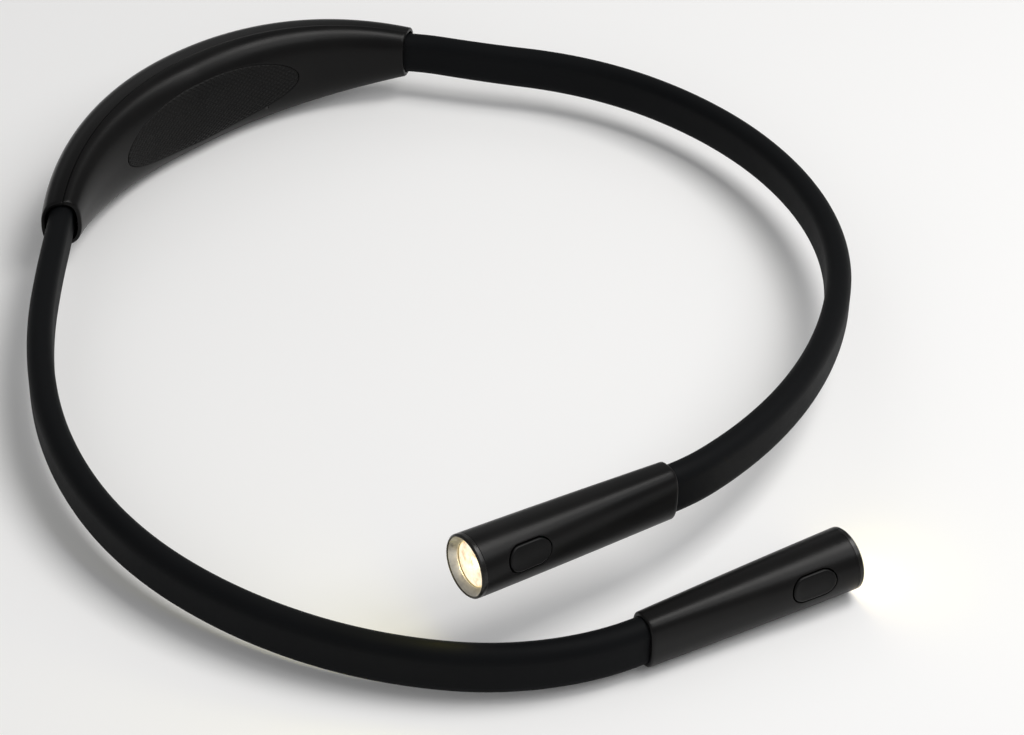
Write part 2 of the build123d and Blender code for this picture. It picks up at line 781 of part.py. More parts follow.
# ---------------------------------------------------------------- output
pieces = {
    "inner_cover": inner_cover,
    "outer_cover": outer_cover,
    "neck_pad": neck_pad,
    "cover_screws": cover_screws,
    "battery": battery,
    "battery_tape": battery_tape,
    "battery_wires": battery_wires,
    "control_board": control_board,
    "board_components": board_components,
    "usb_socket": usb_socket,
    "charge_led": charge_led,
    "light_window": light_window,
}
for side, arm in (("left", LEFT), ("right", RIGHT)):
    b1, b2, b3 = arm.bends
    pieces[side + "_arm_clamp"] = arm_clamp(arm)
    pieces[side + "_sleeve_pod_end"] = sleeve_length(
        arm, SLEEVE_START, b1, ARM_SIZES[0], None, "bend"
    )
    pieces[side + "_sleeve_upper"] = sleeve_length(arm, b1, b2, ARM_SIZES[1], "bend", "bend")
    pieces[side + "_sleeve_middle"] = sleeve_length(arm, b2, b3, ARM_SIZES[2], "bend", "bend")
    pieces[side + "_sleeve_lower"] = sleeve_length(arm, b3, arm.aim, ARM_SIZES[3], "bend", "aim")
    pieces[side + "_sleeve_head_end"] = sleeve_length(
        arm, arm.aim, arm.head + SLEEVE_IN_HEAD, ARM_SIZES[4], "aim", None
    )
    # each rod reaches to the face of its own knuckle, and the next starts beyond it
    cuts = (
        (b1, KNUCKLE_R),
        (b2, KNUCKLE_R),
        (b3, KNUCKLE_R),
        (arm.aim, AIM_KNUCKLE_R),
    )
    begins = [3.5] + [s + r + SPINE_LATE for s, r in cuts]
    ends = [s + r - SPINE_SHORT for s, r in cuts]
    ends.append(arm.head + SLEEVE_IN_HEAD + 4.5)
    for k, where in enumerate(("pod_end", "upper", "middle", "lower", "head_end")):
        pieces[side + "_spine_" + where] = spine_length(arm, begins[k], ends[k])
    pieces[side + "_leads"] = leads(arm)
    pieces[side + "_head_shell"] = head_shell(arm)
    pieces[side + "_head_bezel"] = head_bezel(arm)
    pieces[side + "_reflector"] = reflector(arm)
    pieces[side + "_lens"] = lens(arm)
    pieces[side + "_led_board"] = led_board(arm)
    pieces[side + "_led_chips"] = led_chips(arm)
    pieces[side + "_switch_board"] = switch_board(arm)
    pieces[side + "_tact_switch"] = tact_switch(arm)
    pieces[side + "_switch_stem"] = switch_stem(arm)
    pieces[side + "_button_cap"] = button_cap(arm)
    pieces[side + "_sleeve_anchor"] = sleeve_anchor(arm)

low, high = [1e9] * 3, [-1e9] * 3
for name, piece in pieces.items():
    piece.part.label = name
    export_step(piece.part, f"parts/{name}.step")
    box = piece.part.bounding_box()
    low = [min(a, b) for a, b in zip(low, tuple(box.min))]
    high = [max(a, b) for a, b in zip(high, tuple(box.max))]
print(len(pieces), "pieces", "low", low, "high", high)
print("middle", [(a + b) / 2 for a, b in zip(low, high)])
for side, arm in (("left", LEFT), ("right", RIGHT)):
    for s in (*arm.bends, arm.aim, arm.head):
        place, forward, leftward, up = arm.frame(s)
        print(side, s, place, forward, leftward, up)
    plane = button_plane(arm, 0)
    print(side, "button", plane.origin, plane.z_dir)
    place, forward, leftward, up = arm.frame(arm.head)
    print(side, "front", place + forward * HEAD_LENGTH, forward)
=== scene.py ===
import bpy
import bmesh
import json
import math
import random
from math import sin, cos, tan, radians, pi
import numpy as np
from mathutils import Matrix, Vector


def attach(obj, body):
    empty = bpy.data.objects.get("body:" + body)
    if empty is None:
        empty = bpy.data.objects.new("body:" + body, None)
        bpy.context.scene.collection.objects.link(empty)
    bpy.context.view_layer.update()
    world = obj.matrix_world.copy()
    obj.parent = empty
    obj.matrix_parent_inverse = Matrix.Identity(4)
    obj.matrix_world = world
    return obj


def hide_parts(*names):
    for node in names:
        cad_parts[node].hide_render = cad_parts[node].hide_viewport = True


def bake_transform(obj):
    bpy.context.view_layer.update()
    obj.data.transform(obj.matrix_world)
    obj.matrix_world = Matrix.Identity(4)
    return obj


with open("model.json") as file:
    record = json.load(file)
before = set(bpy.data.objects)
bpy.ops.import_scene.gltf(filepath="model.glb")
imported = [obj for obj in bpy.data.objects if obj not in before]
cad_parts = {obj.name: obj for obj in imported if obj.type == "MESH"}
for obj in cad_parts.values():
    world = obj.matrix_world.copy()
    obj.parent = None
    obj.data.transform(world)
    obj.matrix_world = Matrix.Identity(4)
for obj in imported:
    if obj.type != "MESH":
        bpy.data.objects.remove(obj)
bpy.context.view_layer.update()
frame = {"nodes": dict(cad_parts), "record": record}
NODES = frame["nodes"]
random.seed(7)

# Hands-free neck reading light. Lengths are worked in millimetres and
# written to the meshes in metres. +Y is the back of the neck, +X the
# wearer's left.
MM = 0.001

# ------------------------------------------------------------------ sizes
POD_X, POD_Y = 13.806, 130.563
POD_R = 87.85
POD_HALF_ANGLE = 46.0
POD_Z = 14.2
POD_HEIGHT_MID, POD_HEIGHT_END = 14.6, 7.1
POD_DEPTH_MID, POD_DEPTH_END = 9.15, 5.2
POD_SHIFT = 0.65
MOUTH_LEAN = 14.0
POD_SQUARE = 2.6
POD_WALL_MID, POD_WALL_END = 1.6, 0.9
PART_CENTRE, PART_R = -9.2993, 93.5493
SEAM = 0.1
PAD_LENGTH, PAD_HEIGHT, PAD_Z = 62.0, 19.0, 14.4
BORE_DEPTH, BORE_HEIGHT, BORE_ROUND = 3.2, 8.8, 1.55
SPINE_D, LEAD_D, LEAD_RISE = 2.4, 1.6, 3.0
INSIDE_POD = 20.0
HEAD_LENGTH, HEAD_D = 58.4, 16.0
HEAD_REAR_HEIGHT, HEAD_REAR_DEPTH = 14.8, 9.3
HEAD_WALL = 1.1
SLEEVE_IN_HEAD = 12.0
BUTTON_LENGTH, BUTTON_WIDTH, BUTTON_GAP = 11.9, 6.7, 0.2
BUTTON_FROM_FRONT, BUTTON_UP = 14.0, 19.0
BEZEL = 1.5


def vec(*a):
    return np.array(a, float)


def unit(v):
    return v / np.linalg.norm(v)


# ------------------------------------------------------------------ camera
FORWARD = vec(0.684658, 0.728864, 0.0)
DOWN = radians(38.0)
cam_data = bpy.data.cameras.new("view")
cam_data.sensor_fit = "HORIZONTAL"
cam_data.sensor_width = 36.0
cam_data.lens = 36.0 * 3400.0 / 1024.0
cam_data.clip_start = 0.05
cam_data.clip_end = 20.0
cam = bpy.data.objects.new("view", cam_data)
cam.location = (-0.473954, -0.526867, 0.55116)
look = Vector((FORWARD[0] * cos(DOWN), FORWARD[1] * cos(DOWN), -sin(DOWN)))
cam.rotation_euler = look.to_track_quat("-Z", "Y").to_euler()
bpy.context.scene.collection.objects.link(cam)
bpy.context.scene.camera = cam


# ------------------------------------------------------------------ materials
class Nodes:
    """A short way to write a node tree."""

    def __init__(self, name):
        self.m = bpy.data.materials.new(name)
        self.m.use_nodes = True
        self.t = self.m.node_tree
        self.t.nodes.clear()
        self.out = self.t.nodes.new("ShaderNodeOutputMaterial")
        self.coord = self.t.nodes.new("ShaderNodeTexCoord")

    def add(self, kind, **values):
        n = self.t.nodes.new(kind)
        for k, v in values.items():
            if hasattr(n, k):
                setattr(n, k, v)
            else:
                n.inputs[k.replace("_", " ")].default_value = v
        return n

    def link(self, a, b):
        self.t.links.new(a, b)

    def noise(self, scale, detail=2.0, rough=0.5):
        n = self.add("ShaderNodeTexNoise")
        n.inputs["Scale"].default_value = scale
        n.inputs["Detail"].default_value = detail
        n.inputs["Roughness"].default_value = rough
        self.link(self.coord.outputs["Object"], n.inputs["Vector"])
        return n

    def ramp(self, source, stops, kind="LINEAR"):
        r = self.add("ShaderNodeValToRGB")
        r.color_ramp.interpolation = kind
        while len(r.color_ramp.elements) < len(stops):
            r.color_ramp.elements.new(0.5)
        for e, (p, c) in zip(r.color_ramp.elements, stops):
            e.position = p
            e.color = (c, c, c, 1) if isinstance(c, (int, float)) else (*c, 1)
        self.link(source, r.inputs["Fac"])
        return r

    def principled(self):
        p = self.add("ShaderNodeBsdfPrincipled")
        self.link(p.outputs["BSDF"], self.out.inputs["Surface"])
        return p


def plastic(name, dark, light, rough, spread, grain, bump, cloud=55.0, specular=0.5, coat=0.0, coat_rough=0.3, mark=0.0):
    """Moulded plastic or rubber: colour drifts a little, the gloss is uneven and the skin has a fine grain."""
    n = Nodes(name)
    p = n.principled()
    p.inputs["Specular IOR Level"].default_value = specular
    if coat:
        p.inputs["Coat Weight"].default_value = coat
        p.inputs["Coat Roughness"].default_value = coat_rough
    broad = n.noise(cloud, 3.0, 0.55)
    n.link(n.ramp(broad.outputs["Fac"], [(0.32, dark), (0.68, light)]).outputs["Color"], p.inputs["Base Color"])
    fine = n.noise(cloud * 14, 4.0, 0.6)
    mix = n.add("ShaderNodeMath", operation="MULTIPLY_ADD")
    n.link(fine.outputs["Fac"], mix.inputs[0])
    mix.inputs[1].default_value = 0.35
    n.link(broad.outputs["Fac"], mix.inputs[2])
    lo, hi = rough - spread, rough + spread
    n.link(n.ramp(mix.outputs[0], [(0.45, lo), (0.9, hi)]).outputs["Color"], p.inputs["Roughness"])
    skin = n.noise(grain, 2.0, 0.7)
    b = n.add("ShaderNodeBump")
    b.inputs["Strength"].default_value = bump
    b.inputs["Distance"].default_value = 0.00006
    n.link(skin.outputs["Fac"], b.inputs["Height"])
    n.link(b.outputs["Normal"], p.inputs["Normal"])
    return n.m


def metal(name, color, rough, spread, grain, stretch=(1, 1, 1), metallic=1.0):
    """Metal with a drawn or turned grain."""
    n = Nodes(name)
    p = n.principled()
    p.inputs["Metallic"].default_value = metallic
    m = n.add("ShaderNodeMapping")
    m.inputs["Scale"].default_value = stretch
    n.link(n.coord.outputs["Object"], m.inputs["Vector"])
    g = n.noise(grain, 3.0, 0.6)
    n.link(m.outputs["Vector"], g.inputs["Vector"])
    dark = tuple(c * 0.86 for c in color)
    n.link(n.ramp(g.outputs["Fac"], [(0.3, dark), (0.7, color)]).outputs["Color"], p.inputs["Base Color"])
    n.link(n.ramp(g.outputs["Fac"], [(0.3, rough - spread), (0.7, rough + spread)]).outputs["Color"], p.inputs["Roughness"])
    b = n.add("ShaderNodeBump")
    b.inputs["Strength"].default_value = 0.15
    b.inputs["Distance"].default_value = 0.00003
    n.link(g.outputs["Fac"], b.inputs["Height"])
    n.link(b.outputs["Normal"], p.inputs["Normal"])
    return n.m


POD_MAT = plastic("pod_plastic", (0.0030, 0.0029, 0.0031), (0.0045, 0.0043, 0.0042), 0.32, 0.035, 5200, 0.22, specular=0.14)
HEAD_MAT = plastic("head_plastic", (0.0034, 0.0033, 0.0034), (0.0050, 0.0047, 0.0046), 0.33, 0.035, 5200, 0.25, specular=0.15)
BEZEL_MAT = plastic("bezel_plastic", (0.0060, 0.0056, 0.0052), (0.0085, 0.0080, 0.0074), 0.28, 0.03, 5200, 0.15, specular=0.30)
BUTTON_MAT = plastic("button_plastic", (0.0019, 0.0019, 0.0020), (0.0030, 0.0029, 0.0030), 0.38, 0.04, 6500, 0.35, specular=0.155)
SLEEVE_MAT = plastic("sleeve_silicone", (0.0023, 0.0027, 0.0033), (0.0034, 0.0038, 0.0045), 0.62, 0.05, 4200, 0.35, cloud=38.0, specular=0.085)
PAD_MAT = plastic("pad_rubber", (0.0050, 0.0050, 0.0050), (0.0074, 0.0072, 0.0071), 0.50, 0.05, 5200, 0.30, specular=0.14)
BOARD_MAT = plastic("board_green", (0.006, 0.075, 0.030), (0.012, 0.110, 0.045), 0.35, 0.05, 3000, 0.2)
CHIP_MAT = plastic("chip_black", (0.014, 0.014, 0.015), (0.022, 0.022, 0.023), 0.5, 0.05, 3000, 0.2)
PHOSPHOR_MAT = plastic("led_phosphor", (0.80, 0.50, 0.10), (0.95, 0.68, 0.20), 0.5, 0.05, 3000, 0.2)
SWITCH_MAT = plastic("switch_black", (0.018, 0.018, 0.019), (0.028, 0.028, 0.029), 0.5, 0.05, 3000, 0.2)
TAPE_MAT = plastic("tape_foam", (0.62, 0.62, 0.58), (0.75, 0.75, 0.71), 0.85, 0.05, 1500, 0.8)
WIRE_MAT = plastic("wire_jacket", (0.28, 0.012, 0.010), (0.36, 0.018, 0.014), 0.45, 0.05, 3000, 0.2)
LEAD_MAT = plastic("lead_jacket", (0.012, 0.012, 0.012), (0.02, 0.02, 0.02), 0.5, 0.05, 3000, 0.2)
CLAMP_MAT = plastic("clamp_nylon", (0.10, 0.10, 0.105), (0.14, 0.14, 0.145), 0.55, 0.05, 3000, 0.3)
STEEL_MAT = metal("plated_steel", (0.62, 0.62, 0.63), 0.28, 0.08, 900, (1, 1, 6))
SOCKET_MAT = metal("socket_steel", (0.11, 0.11, 0.115), 0.45, 0.08, 900, (1, 1, 6))
SPINE_MAT = metal("annealed_steel", (0.33, 0.32, 0.31), 0.42, 0.10, 700, (1, 1, 5))
CELL_MAT = metal("pouch_foil", (0.55, 0.56, 0.58), 0.40, 0.10, 260)
CONE_MAT = metal("satin_cone", (0.62, 0.60, 0.54), 0.36, 0.06, 1400)


def clear_material():
    n = Nodes("light_guide")
    p = n.principled()
    p.inputs["IOR"].default_value = 1.49
    p.inputs["Specular IOR Level"].default_value = 0.3
    g = n.noise(900, 2.0)
    n.link(n.ramp(g.outputs["Fac"], [(0.3, (0.012, 0.012, 0.012)), (0.7, (0.020, 0.020, 0.019))]).outputs["Color"], p.inputs["Base Color"])
    n.link(n.ramp(g.outputs["Fac"], [(0.3, 0.18), (0.7, 0.30)]).outputs["Color"], p.inputs["Roughness"])
    return n.m


WINDOW_MAT = clear_material()

BY_SLOT = {
    "cover_plastic": POD_MAT,
    "pad_rubber": PAD_MAT,
    "sleeve_silicone": SLEEVE_MAT,
    "head_plastic": HEAD_MAT,
    "bezel_plastic": BEZEL_MAT,
    "button_plastic": BUTTON_MAT,
    "reflector_metal": CONE_MAT,
    "lens_clear": WINDOW_MAT,
    "board": BOARD_MAT,
    "chips": CHIP_MAT,
    "led_phosphor": PHOSPHOR_MAT,
    "switch_body": SWITCH_MAT,
    "steel": STEEL_MAT,
    "spine_wire": SPINE_MAT,
    "cell_foil": CELL_MAT,
    "tape_foam": TAPE_MAT,
    "wire_jacket": WIRE_MAT,
    "lead_jacket": LEAD_MAT,
    "clamp_plastic": CLAMP_MAT,
    "window_clear": WINDOW_MAT,
}
for sub in frame["record"]["subparts"]:
    o = NODES[sub["node"]]
    m = SOCKET_MAT if sub["node"] == "usb_socket" else BY_SLOT[sub["material_slot"]]
    if not o.material_slots:
        o.data.materials.append(m)
    for s in o.material_slots:
        s.material = m


# ------------------------------------------------------------------ mesh helpers
def make(name, verts, faces, material, body, sharp=32.0, replaces=()):
    """A mesh piece from points in millimetres; it rides on body unless that is None."""
    mesh = bpy.data.meshes.new(name)
    mesh.from_pydata([tuple(v) for v in np.asarray(verts, float) * MM], [], faces)
    mesh.update()
    mesh.materials.append(material)
    mesh.shade_smooth()
    if sharp:
        mesh.set_sharp_from_angle(angle=radians(sharp))
    o = bpy.data.objects.new(name, mesh)
    bpy.context.scene.collection.objects.link(o)
    if body:
        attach(o, body)
    if replaces:
        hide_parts(*replaces)
    return o


class Mesh:
    """Collects points and faces of one closed piece."""

    def __init__(self):
        self.v, self.f = [], []

    def ring(self, points):
        k = len(self.v)
        self.v += [tuple(p) for p in points]
        return list(range(k, k + len(points)))

    def band(self, a, b, closed=True):
        n = len(a)
        for i in range(n if closed else n - 1):
            j = (i + 1) % n
            self.f.append((a[i], a[j], b[j], b[i]))

    def fan(self, ring, centre, flip=False):
        c = self.ring([centre])[0]
        n = len(ring)
        for i in range(n):
            j = (i + 1) % n
            self.f.append((ring[j], ring[i], c) if flip else (ring[i], ring[j], c))


def round_rect(w, h, r, steps):
    """Points round a rounded rectangle, steps on each corner and on each side."""
    pts = []
    for cx, cy, a0 in ((1, 1, 0), (-1, 1, 90), (-1, -1, 180), (1, -1, 270)):
        for k in range(steps + 1):
            a = radians(a0 + 90 * k / steps)
            pts.append((cx * (w / 2 - r) + r * cos(a), cy * (h / 2 - r) + r * sin(a)))
        # points along the straight that follows
        a = radians(a0 + 90)
        p = pts[-1]
        nx, ny = {0: (-1, 1), 90: (-1, -1), 180: (1, -1), 270: (1, 1)}[a0]
        b0 = a0 + 90
        q = (nx * (w / 2 - r) + r * cos(radians(b0)), ny * (h / 2 - r) + r * sin(radians(b0)))
        extra = 3 if abs(p[0] - q[0]) + abs(p[1] - q[1]) > 1.0 else 0
        for k in range(1, extra + 1):
            t = k / (extra + 1)
            pts.append((p[0] + (q[0] - p[0]) * t, p[1] + (q[1] - p[1]) * t))
    return pts


# ------------------------------------------------------------------ arms
class Arm:
    """The arm's centreline: tangent arcs in a slightly tilted plane."""

    def __init__(self, z0, slope_x, slope_y, side, runs, bends, aim, head):
        self.o = vec(POD_X, POD_Y, z0)
        self.z = unit(vec(-slope_x, -slope_y, 1))
        self.x = unit(vec(1, 0, slope_x))
        self.y = np.cross(self.z, self.x)
        self.side, self.runs = side, runs
        self.bends, self.aim, self.head = bends, aim, head

    def start(self):
        th = radians(POD_HALF_ANGLE) - INSIDE_POD / POD_R
        return (
            self.side * POD_R * sin(th),
            POD_R * cos(th) - POD_R,
            -th if self.side > 0 else th - pi,
        )

    def at(self, s):
        x, y, h = self.start()
        for length, turn in self.runs:
            step = min(s, length)
            k = radians(turn) / length
            if abs(k) < 1e-9:
                x, y = x + step * cos(h), y + step * sin(h)
            else:
                x += (sin(h + k * step) - sin(h)) / k
                y -= (cos(h + k * step) - cos(h)) / k
            h += k * step
            s -= step
            if s <= 1e-9:
                break
        return x, y, h

    def frame(self, s):
        """Place, forward, leftward and upward at station s."""
        x, y, h = self.at(s)
        return (
            self.o + x * self.x + y * self.y,
            cos(h) * self.x + sin(h) * self.y,
            -sin(h) * self.x + cos(h) * self.y,
            self.z,
        )


RIGHT = Arm(
    14.956862, 0.005996, 0.026419, -1,
    ((20.0, 13.044), (10.0, -1.771), (25.0, 2.801), (40.0, 12.204), (40.0, 18.075), (37.0, 19.048),
     (38.0, 17.056), (35.0, 17.428), (32.895, 24.474), (14.0, 11.892), (60.0, 0.0)),
    (55.0, 135.0, 210.0), 277.895, 291.895,
)
LEFT = Arm(
    17.957586, -0.074183, -0.022511, 1,
    ((20.0, -13.044), (10.0, -11.943), (25.0, 4.477), (40.0, -25.557), (40.0, -21.173), (40.0, -20.557),
     (42.0, -22.436), (41.0, -16.202), (42.292, -17.297), (14.0, -12.509), (60.0, 0.0)),
    (55.0, 135.0, 217.0), 300.292, 314.292,
)
ARMS = (("left", LEFT), ("right", RIGHT))


def along(arm, s0, s1, step):
    n = max(2, int(math.ceil((s1 - s0) / step)))
    return [s0 + (s1 - s0) * k / n for k in range(n + 1)]


def swept(arm, s0, s1, outline, step=1.25, bore=None, rise=0.0, wave=None):
    """A closed length of an outline along the arm, with a bore if given."""
    m = Mesh()
    outer, inner = [], []
    for s in along(arm, s0, s1, step):
        p, f, l, u = arm.frame(s)
        p = p + u * rise
        now = outline(s) if callable(outline) else outline
        outer.append(m.ring([p + l * x + u * y for x, y in now]))
        if bore:
            inner.append(m.ring([p + l * x + u * y for x, y in bore]))
    for a, b in zip(outer, outer[1:]):
        m.band(b, a)
    if bore:
        for a, b in zip(inner, inner[1:]):
            m.band(a, b)
        m.band(outer[0], inner[0])
        m.band(inner[-1], outer[-1])
    else:
        p0 = arm.frame(s0)
        p1 = arm.frame(s1)
        m.fan(outer[0], p0[0] + p0[3] * rise, flip=True)
        m.fan(outer[-1], p1[0] + p1[3] * rise)
    return m


def circle(r, n):
    return [(r * cos(2 * pi * k / n), r * sin(2 * pi * k / n)) for k in range(n)]


# the sleeve swells a little from the pod to the head: (station, depth, height)
SLEEVE_SIZES = {
    "right": ((12, 6.2, 11.6), (60, 6.5, 12.1), (90, 6.95, 12.8), (138, 7.0, 13.35), (210, 7.0, 13.55), (292, 6.9, 13.25)),
    "left": ((12, 6.2, 11.6), (60, 6.3, 12.0), (110, 6.5, 12.4), (200, 6.6, 12.5), (250, 6.65, 12.65), (314, 6.85, 13.1)),
}


def sleeve_outline(side):
    at = [q[0] for q in SLEEVE_SIZES[side]]
    depth = [q[1] for q in SLEEVE_SIZES[side]]
    height = [q[2] for q in SLEEVE_SIZES[side]]

    def outline(s):
        # averaged over a short length, so that no station shows as a kink
        near = [s + d for d in (-18, -9, 0, 9, 18)]
        w = float(np.mean(np.interp(near, at, depth)))
        h = float(np.mean(np.interp(near, at, height)))
        return round_rect(w, h, w / 2 - 0.05, 11)

    return outline


SLEEVE_BORE = round_rect(BORE_DEPTH, BORE_HEIGHT, BORE_ROUND, 11)


def lead_start(arm):
    """The lead's way from the control board out to where the arm's line begins."""
    x, y, h = arm.start()
    bx, by, r = arm.side * 15.5, 1.65, 26.0
    t = (by - y) / -sin(h)
    corner = x - t * cos(h)
    turn = radians(POD_HALF_ANGLE) - INSIDE_POD / POD_R
    ax = corner - arm.side * r * tan(turn / 2)
    pts = [(bx + (ax - bx) * k / 8, by) for k in range(8)]
    pts += [(ax + arm.side * r * sin(turn * k / 16), by - r * (1 - cos(turn * k / 16))) for k in range(17)]
    end = pts[-1]
    pts += [(end[0] + (x - end[0]) * k / 4, end[1] + (y - end[1]) * k / 4) for k in range(1, 4)]
    return [arm.o + a * arm.x + b * arm.y + arm.z * LEAD_RISE for a, b in pts]


def round_tube(points, r, n):
    """A closed round tube through points that lie in one plane."""
    m = Mesh()
    pts = [np.asarray(p) for p in points]
    rings = []
    for i, p in enumerate(pts):
        t = unit(pts[min(i + 1, len(pts) - 1)] - pts[max(i - 1, 0)])
        up = unit(np.cross(t, np.cross(vec(0, 0, 1), t)))
        side = np.cross(up, t)
        rings.append(m.ring([p + side * r * cos(2 * pi * k / n) + up * r * sin(2 * pi * k / n) for k in range(n)]))
    for a, b in zip(rings, rings[1:]):
        m.band(b, a)
    m.fan(rings[0], pts[0], flip=True)
    m.fan(rings[-1], pts[-1])
    return m


for side, arm in ARMS:
    b1, b2, b3 = arm.bends
    cuts = [12.0, (b1 + b2) / 2, (b2 + b3) / 2, (b3 + arm.aim) / 2, arm.head + SLEEVE_IN_HEAD]
    half = [30.0, 33.0, 29.0, 13.0]
    centre = [b1, b2, b3, arm.aim]
    names = ["upper", "middle", "lower", "front"]
    hides = [
        ("sleeve_pod_end", "spine_pod_end", "leads"),
        ("sleeve_upper", "spine_upper"),
        ("sleeve_middle", "spine_middle"),
        ("sleeve_lower", "spine_lower", "sleeve_head_end", "spine_head_end"),
    ]
    for k in range(4):
        a, b = cuts[k], cuts[k + 1]
        start = arm.frame(centre[k] - half[k])[0] * MM
        end = arm.frame(centre[k] + half[k])[0] * MM
        sleeve = swept(arm, a, b, sleeve_outline(side), 1.25, SLEEVE_BORE)
        o = make(f"{side}_sleeve_{names[k]}_length", sleeve.v, sleeve.f, SLEEVE_MAT, None, 40)
        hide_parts(f"{side}_{hides[k][0]}")
        if k == 3:
            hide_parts(f"{side}_sleeve_head_end")
        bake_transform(o)
        sa = 3.5 if k == 0 else a
        sb = arm.head + SLEEVE_IN_HEAD + 4.5 if k == 3 else b
        rod = swept(arm, sa, sb, circle(SPINE_D / 2, 16), 2.5)
        o = make(f"{side}_spine_{names[k]}_length", rod.v, rod.f, SPINE_MAT, None, 40)
        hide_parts(f"{side}_{hides[k][1]}")
        if k == 3:
            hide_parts(f"{side}_spine_head_end")
        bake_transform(o)
        la = 0.0 if k == 0 else a
        lb = arm.head + 35.5 if k == 3 else b
        path = [arm.frame(s)[0] + arm.z * LEAD_RISE for s in along(arm, la, lb, 2.5)]
        if k == 0:
            path = lead_start(arm) + path
        wire = round_tube(path, LEAD_D / 2, 12)
        o = make(f"{side}_leads_{names[k]}_length", wire.v, wire.f, LEAD_MAT, None, 40)
        if k == 0:
            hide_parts(f"{side}_leads")
        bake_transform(o)


# ------------------------------------------------------------------ pod
def pod_sizes(u):
    swell = 1 - abs(u) ** 1.3
    hd = POD_DEPTH_END + (POD_DEPTH_MID - POD_DEPTH_END) * swell
    hh = POD_HEIGHT_END + (POD_HEIGHT_MID - POD_HEIGHT_END) * (1 - abs(u) ** 2.3)
    r = POD_R - POD_SHIFT * (hd - POD_DEPTH_END)
    return hd, hh, r


def pod_wall(u):
    return POD_WALL_END + (POD_WALL_MID - POD_WALL_END) * max(0, 1 - u * u)


def oval_r(hd, hh, a, n=POD_SQUARE):
    """Radius of the rounded oval in direction a."""
    return (abs(cos(a) / hd) ** n + abs(sin(a) / hh) ** n) ** (-1 / n)


def pod_place(u, x, y):
    """Global place of a point of the section at u, x outward and y up."""
    th = radians(POD_HALF_ANGLE) * u
    r = pod_sizes(u)[2]
    return vec(POD_X + (r + x) * sin(th), POD_Y - POD_R + (r + x) * cos(th), POD_Z + y)


def leaned(u, a, inset=0.0):
    """Towards the mouths the sections lean, further back on the neck side."""
    w = (abs(u) - 0.72) / 0.26
    if w <= 0:
        return u
    w = min(1.0, w)
    w = w * w * (3 - 2 * w)
    hd, hh, r = pod_sizes(u)
    x = r + oval_r(hd - inset, hh - inset, a) * cos(a) - POD_R
    return u + math.copysign(w, u) * x * tan(radians(MOUTH_LEAN)) / ((POD_R + x) * radians(POD_HALF_ANGLE))


def pod_point(u, a, inset=0.0):
    u = leaned(u, a, inset)
    hd, hh, r = pod_sizes(u)
    q = oval_r(hd - inset, hh - inset, a)
    p = pod_place(u, q * cos(a), q * sin(a))
    p[2] = max(p[2], 0.0)
    return p


def parting_angle(u, extra, inset=0.0):
    """Direction in which the section meets an arc, extra outside the parting arc."""
    v = u
    for _ in range(4):
        hd, hh, r = pod_sizes(v)
        hd, hh = hd - inset, hh - inset
        th = radians(POD_HALF_ANGLE) * v
        x = PART_CENTRE * cos(th) + math.sqrt((PART_R + extra) ** 2 - (PART_CENTRE * sin(th)) ** 2) - r
        k = min(0.9999, abs(x / hd))
        y = hh * (1 - k**POD_SQUARE) ** (1 / POD_SQUARE)
        a = math.atan2(y, x)
        v = leaned(u, a, inset)
    return a


def pad_param(x, z, inset=0.0):
    """(u, a) of the place on the neck side that lies at x across and z up."""
    th = x / POD_R
    for _ in range(40):
        u = th / radians(POD_HALF_ANGLE)
        hd, hh, r = pod_sizes(u)
        hd, hh = hd - inset, hh - inset
        k = min(0.9999, abs((z - POD_Z) / hh))
        xl = -hd * (1 - k**POD_SQUARE) ** (1 / POD_SQUARE)
        th = math.asin(max(-1, min(1, x / (r + xl))))
    return th / radians(POD_HALF_ANGLE), math.atan2(z - POD_Z, xl) % (2 * pi)


def grid_hole(m, grid, i0, i1, j0, j1, hole, place, rings=8, ease=1.0):
    """Joins a hole to the rectangle cut out of grid, in the surface's own coordinates.

    grid[i][j] is a point index; hole(c) gives the hole's edge for the corner
    coordinates c, in the same order. Returns the indices round the hole.
    """
    border = [(i, j0) for i in range(i0, i1)] + [(i1, j) for j in range(j0, j1)]
    border += [(i, j1) for i in range(i1, i0, -1)] + [(i0, j) for j in range(j1, j0, -1)]
    outer = [grid[i][j] for i, j in border]
    target = hole(border)
    last = outer
    coords = place["coords"](border)
    for k in range(1, rings + 1):
        t = (k / rings) ** ease
        pts = []
        for c, h in zip(coords, target):
            pts.append(place["point"](c[0] + (h[0] - c[0]) * t, c[1] + (h[1] - c[1]) * t))
        now = m.ring(pts)
        m.band(last, now)
        last = now
    return last


# stations along the pod: even, with a rounded edge at each mouth
US = [-1 + 2 * k / 132 for k in range(133)]
END_ROUND = [(0.0, 0.30), (0.05, 0.17), (0.15, 0.06), (0.30, 0.0)]  # (distance from the mouth, inset)
LENGTH = radians(POD_HALF_ANGLE) * POD_R


def pod_stations():
    out = [(-1 + d / LENGTH, i) for d, i in END_ROUND]
    out += [(u, 0.0) for u in US[1:-1] if abs(u) < 1 - 0.9 / LENGTH]
    out += [(1 - d / LENGTH, i) for d, i in reversed(END_ROUND)]
    return out


STATIONS = pod_stations()


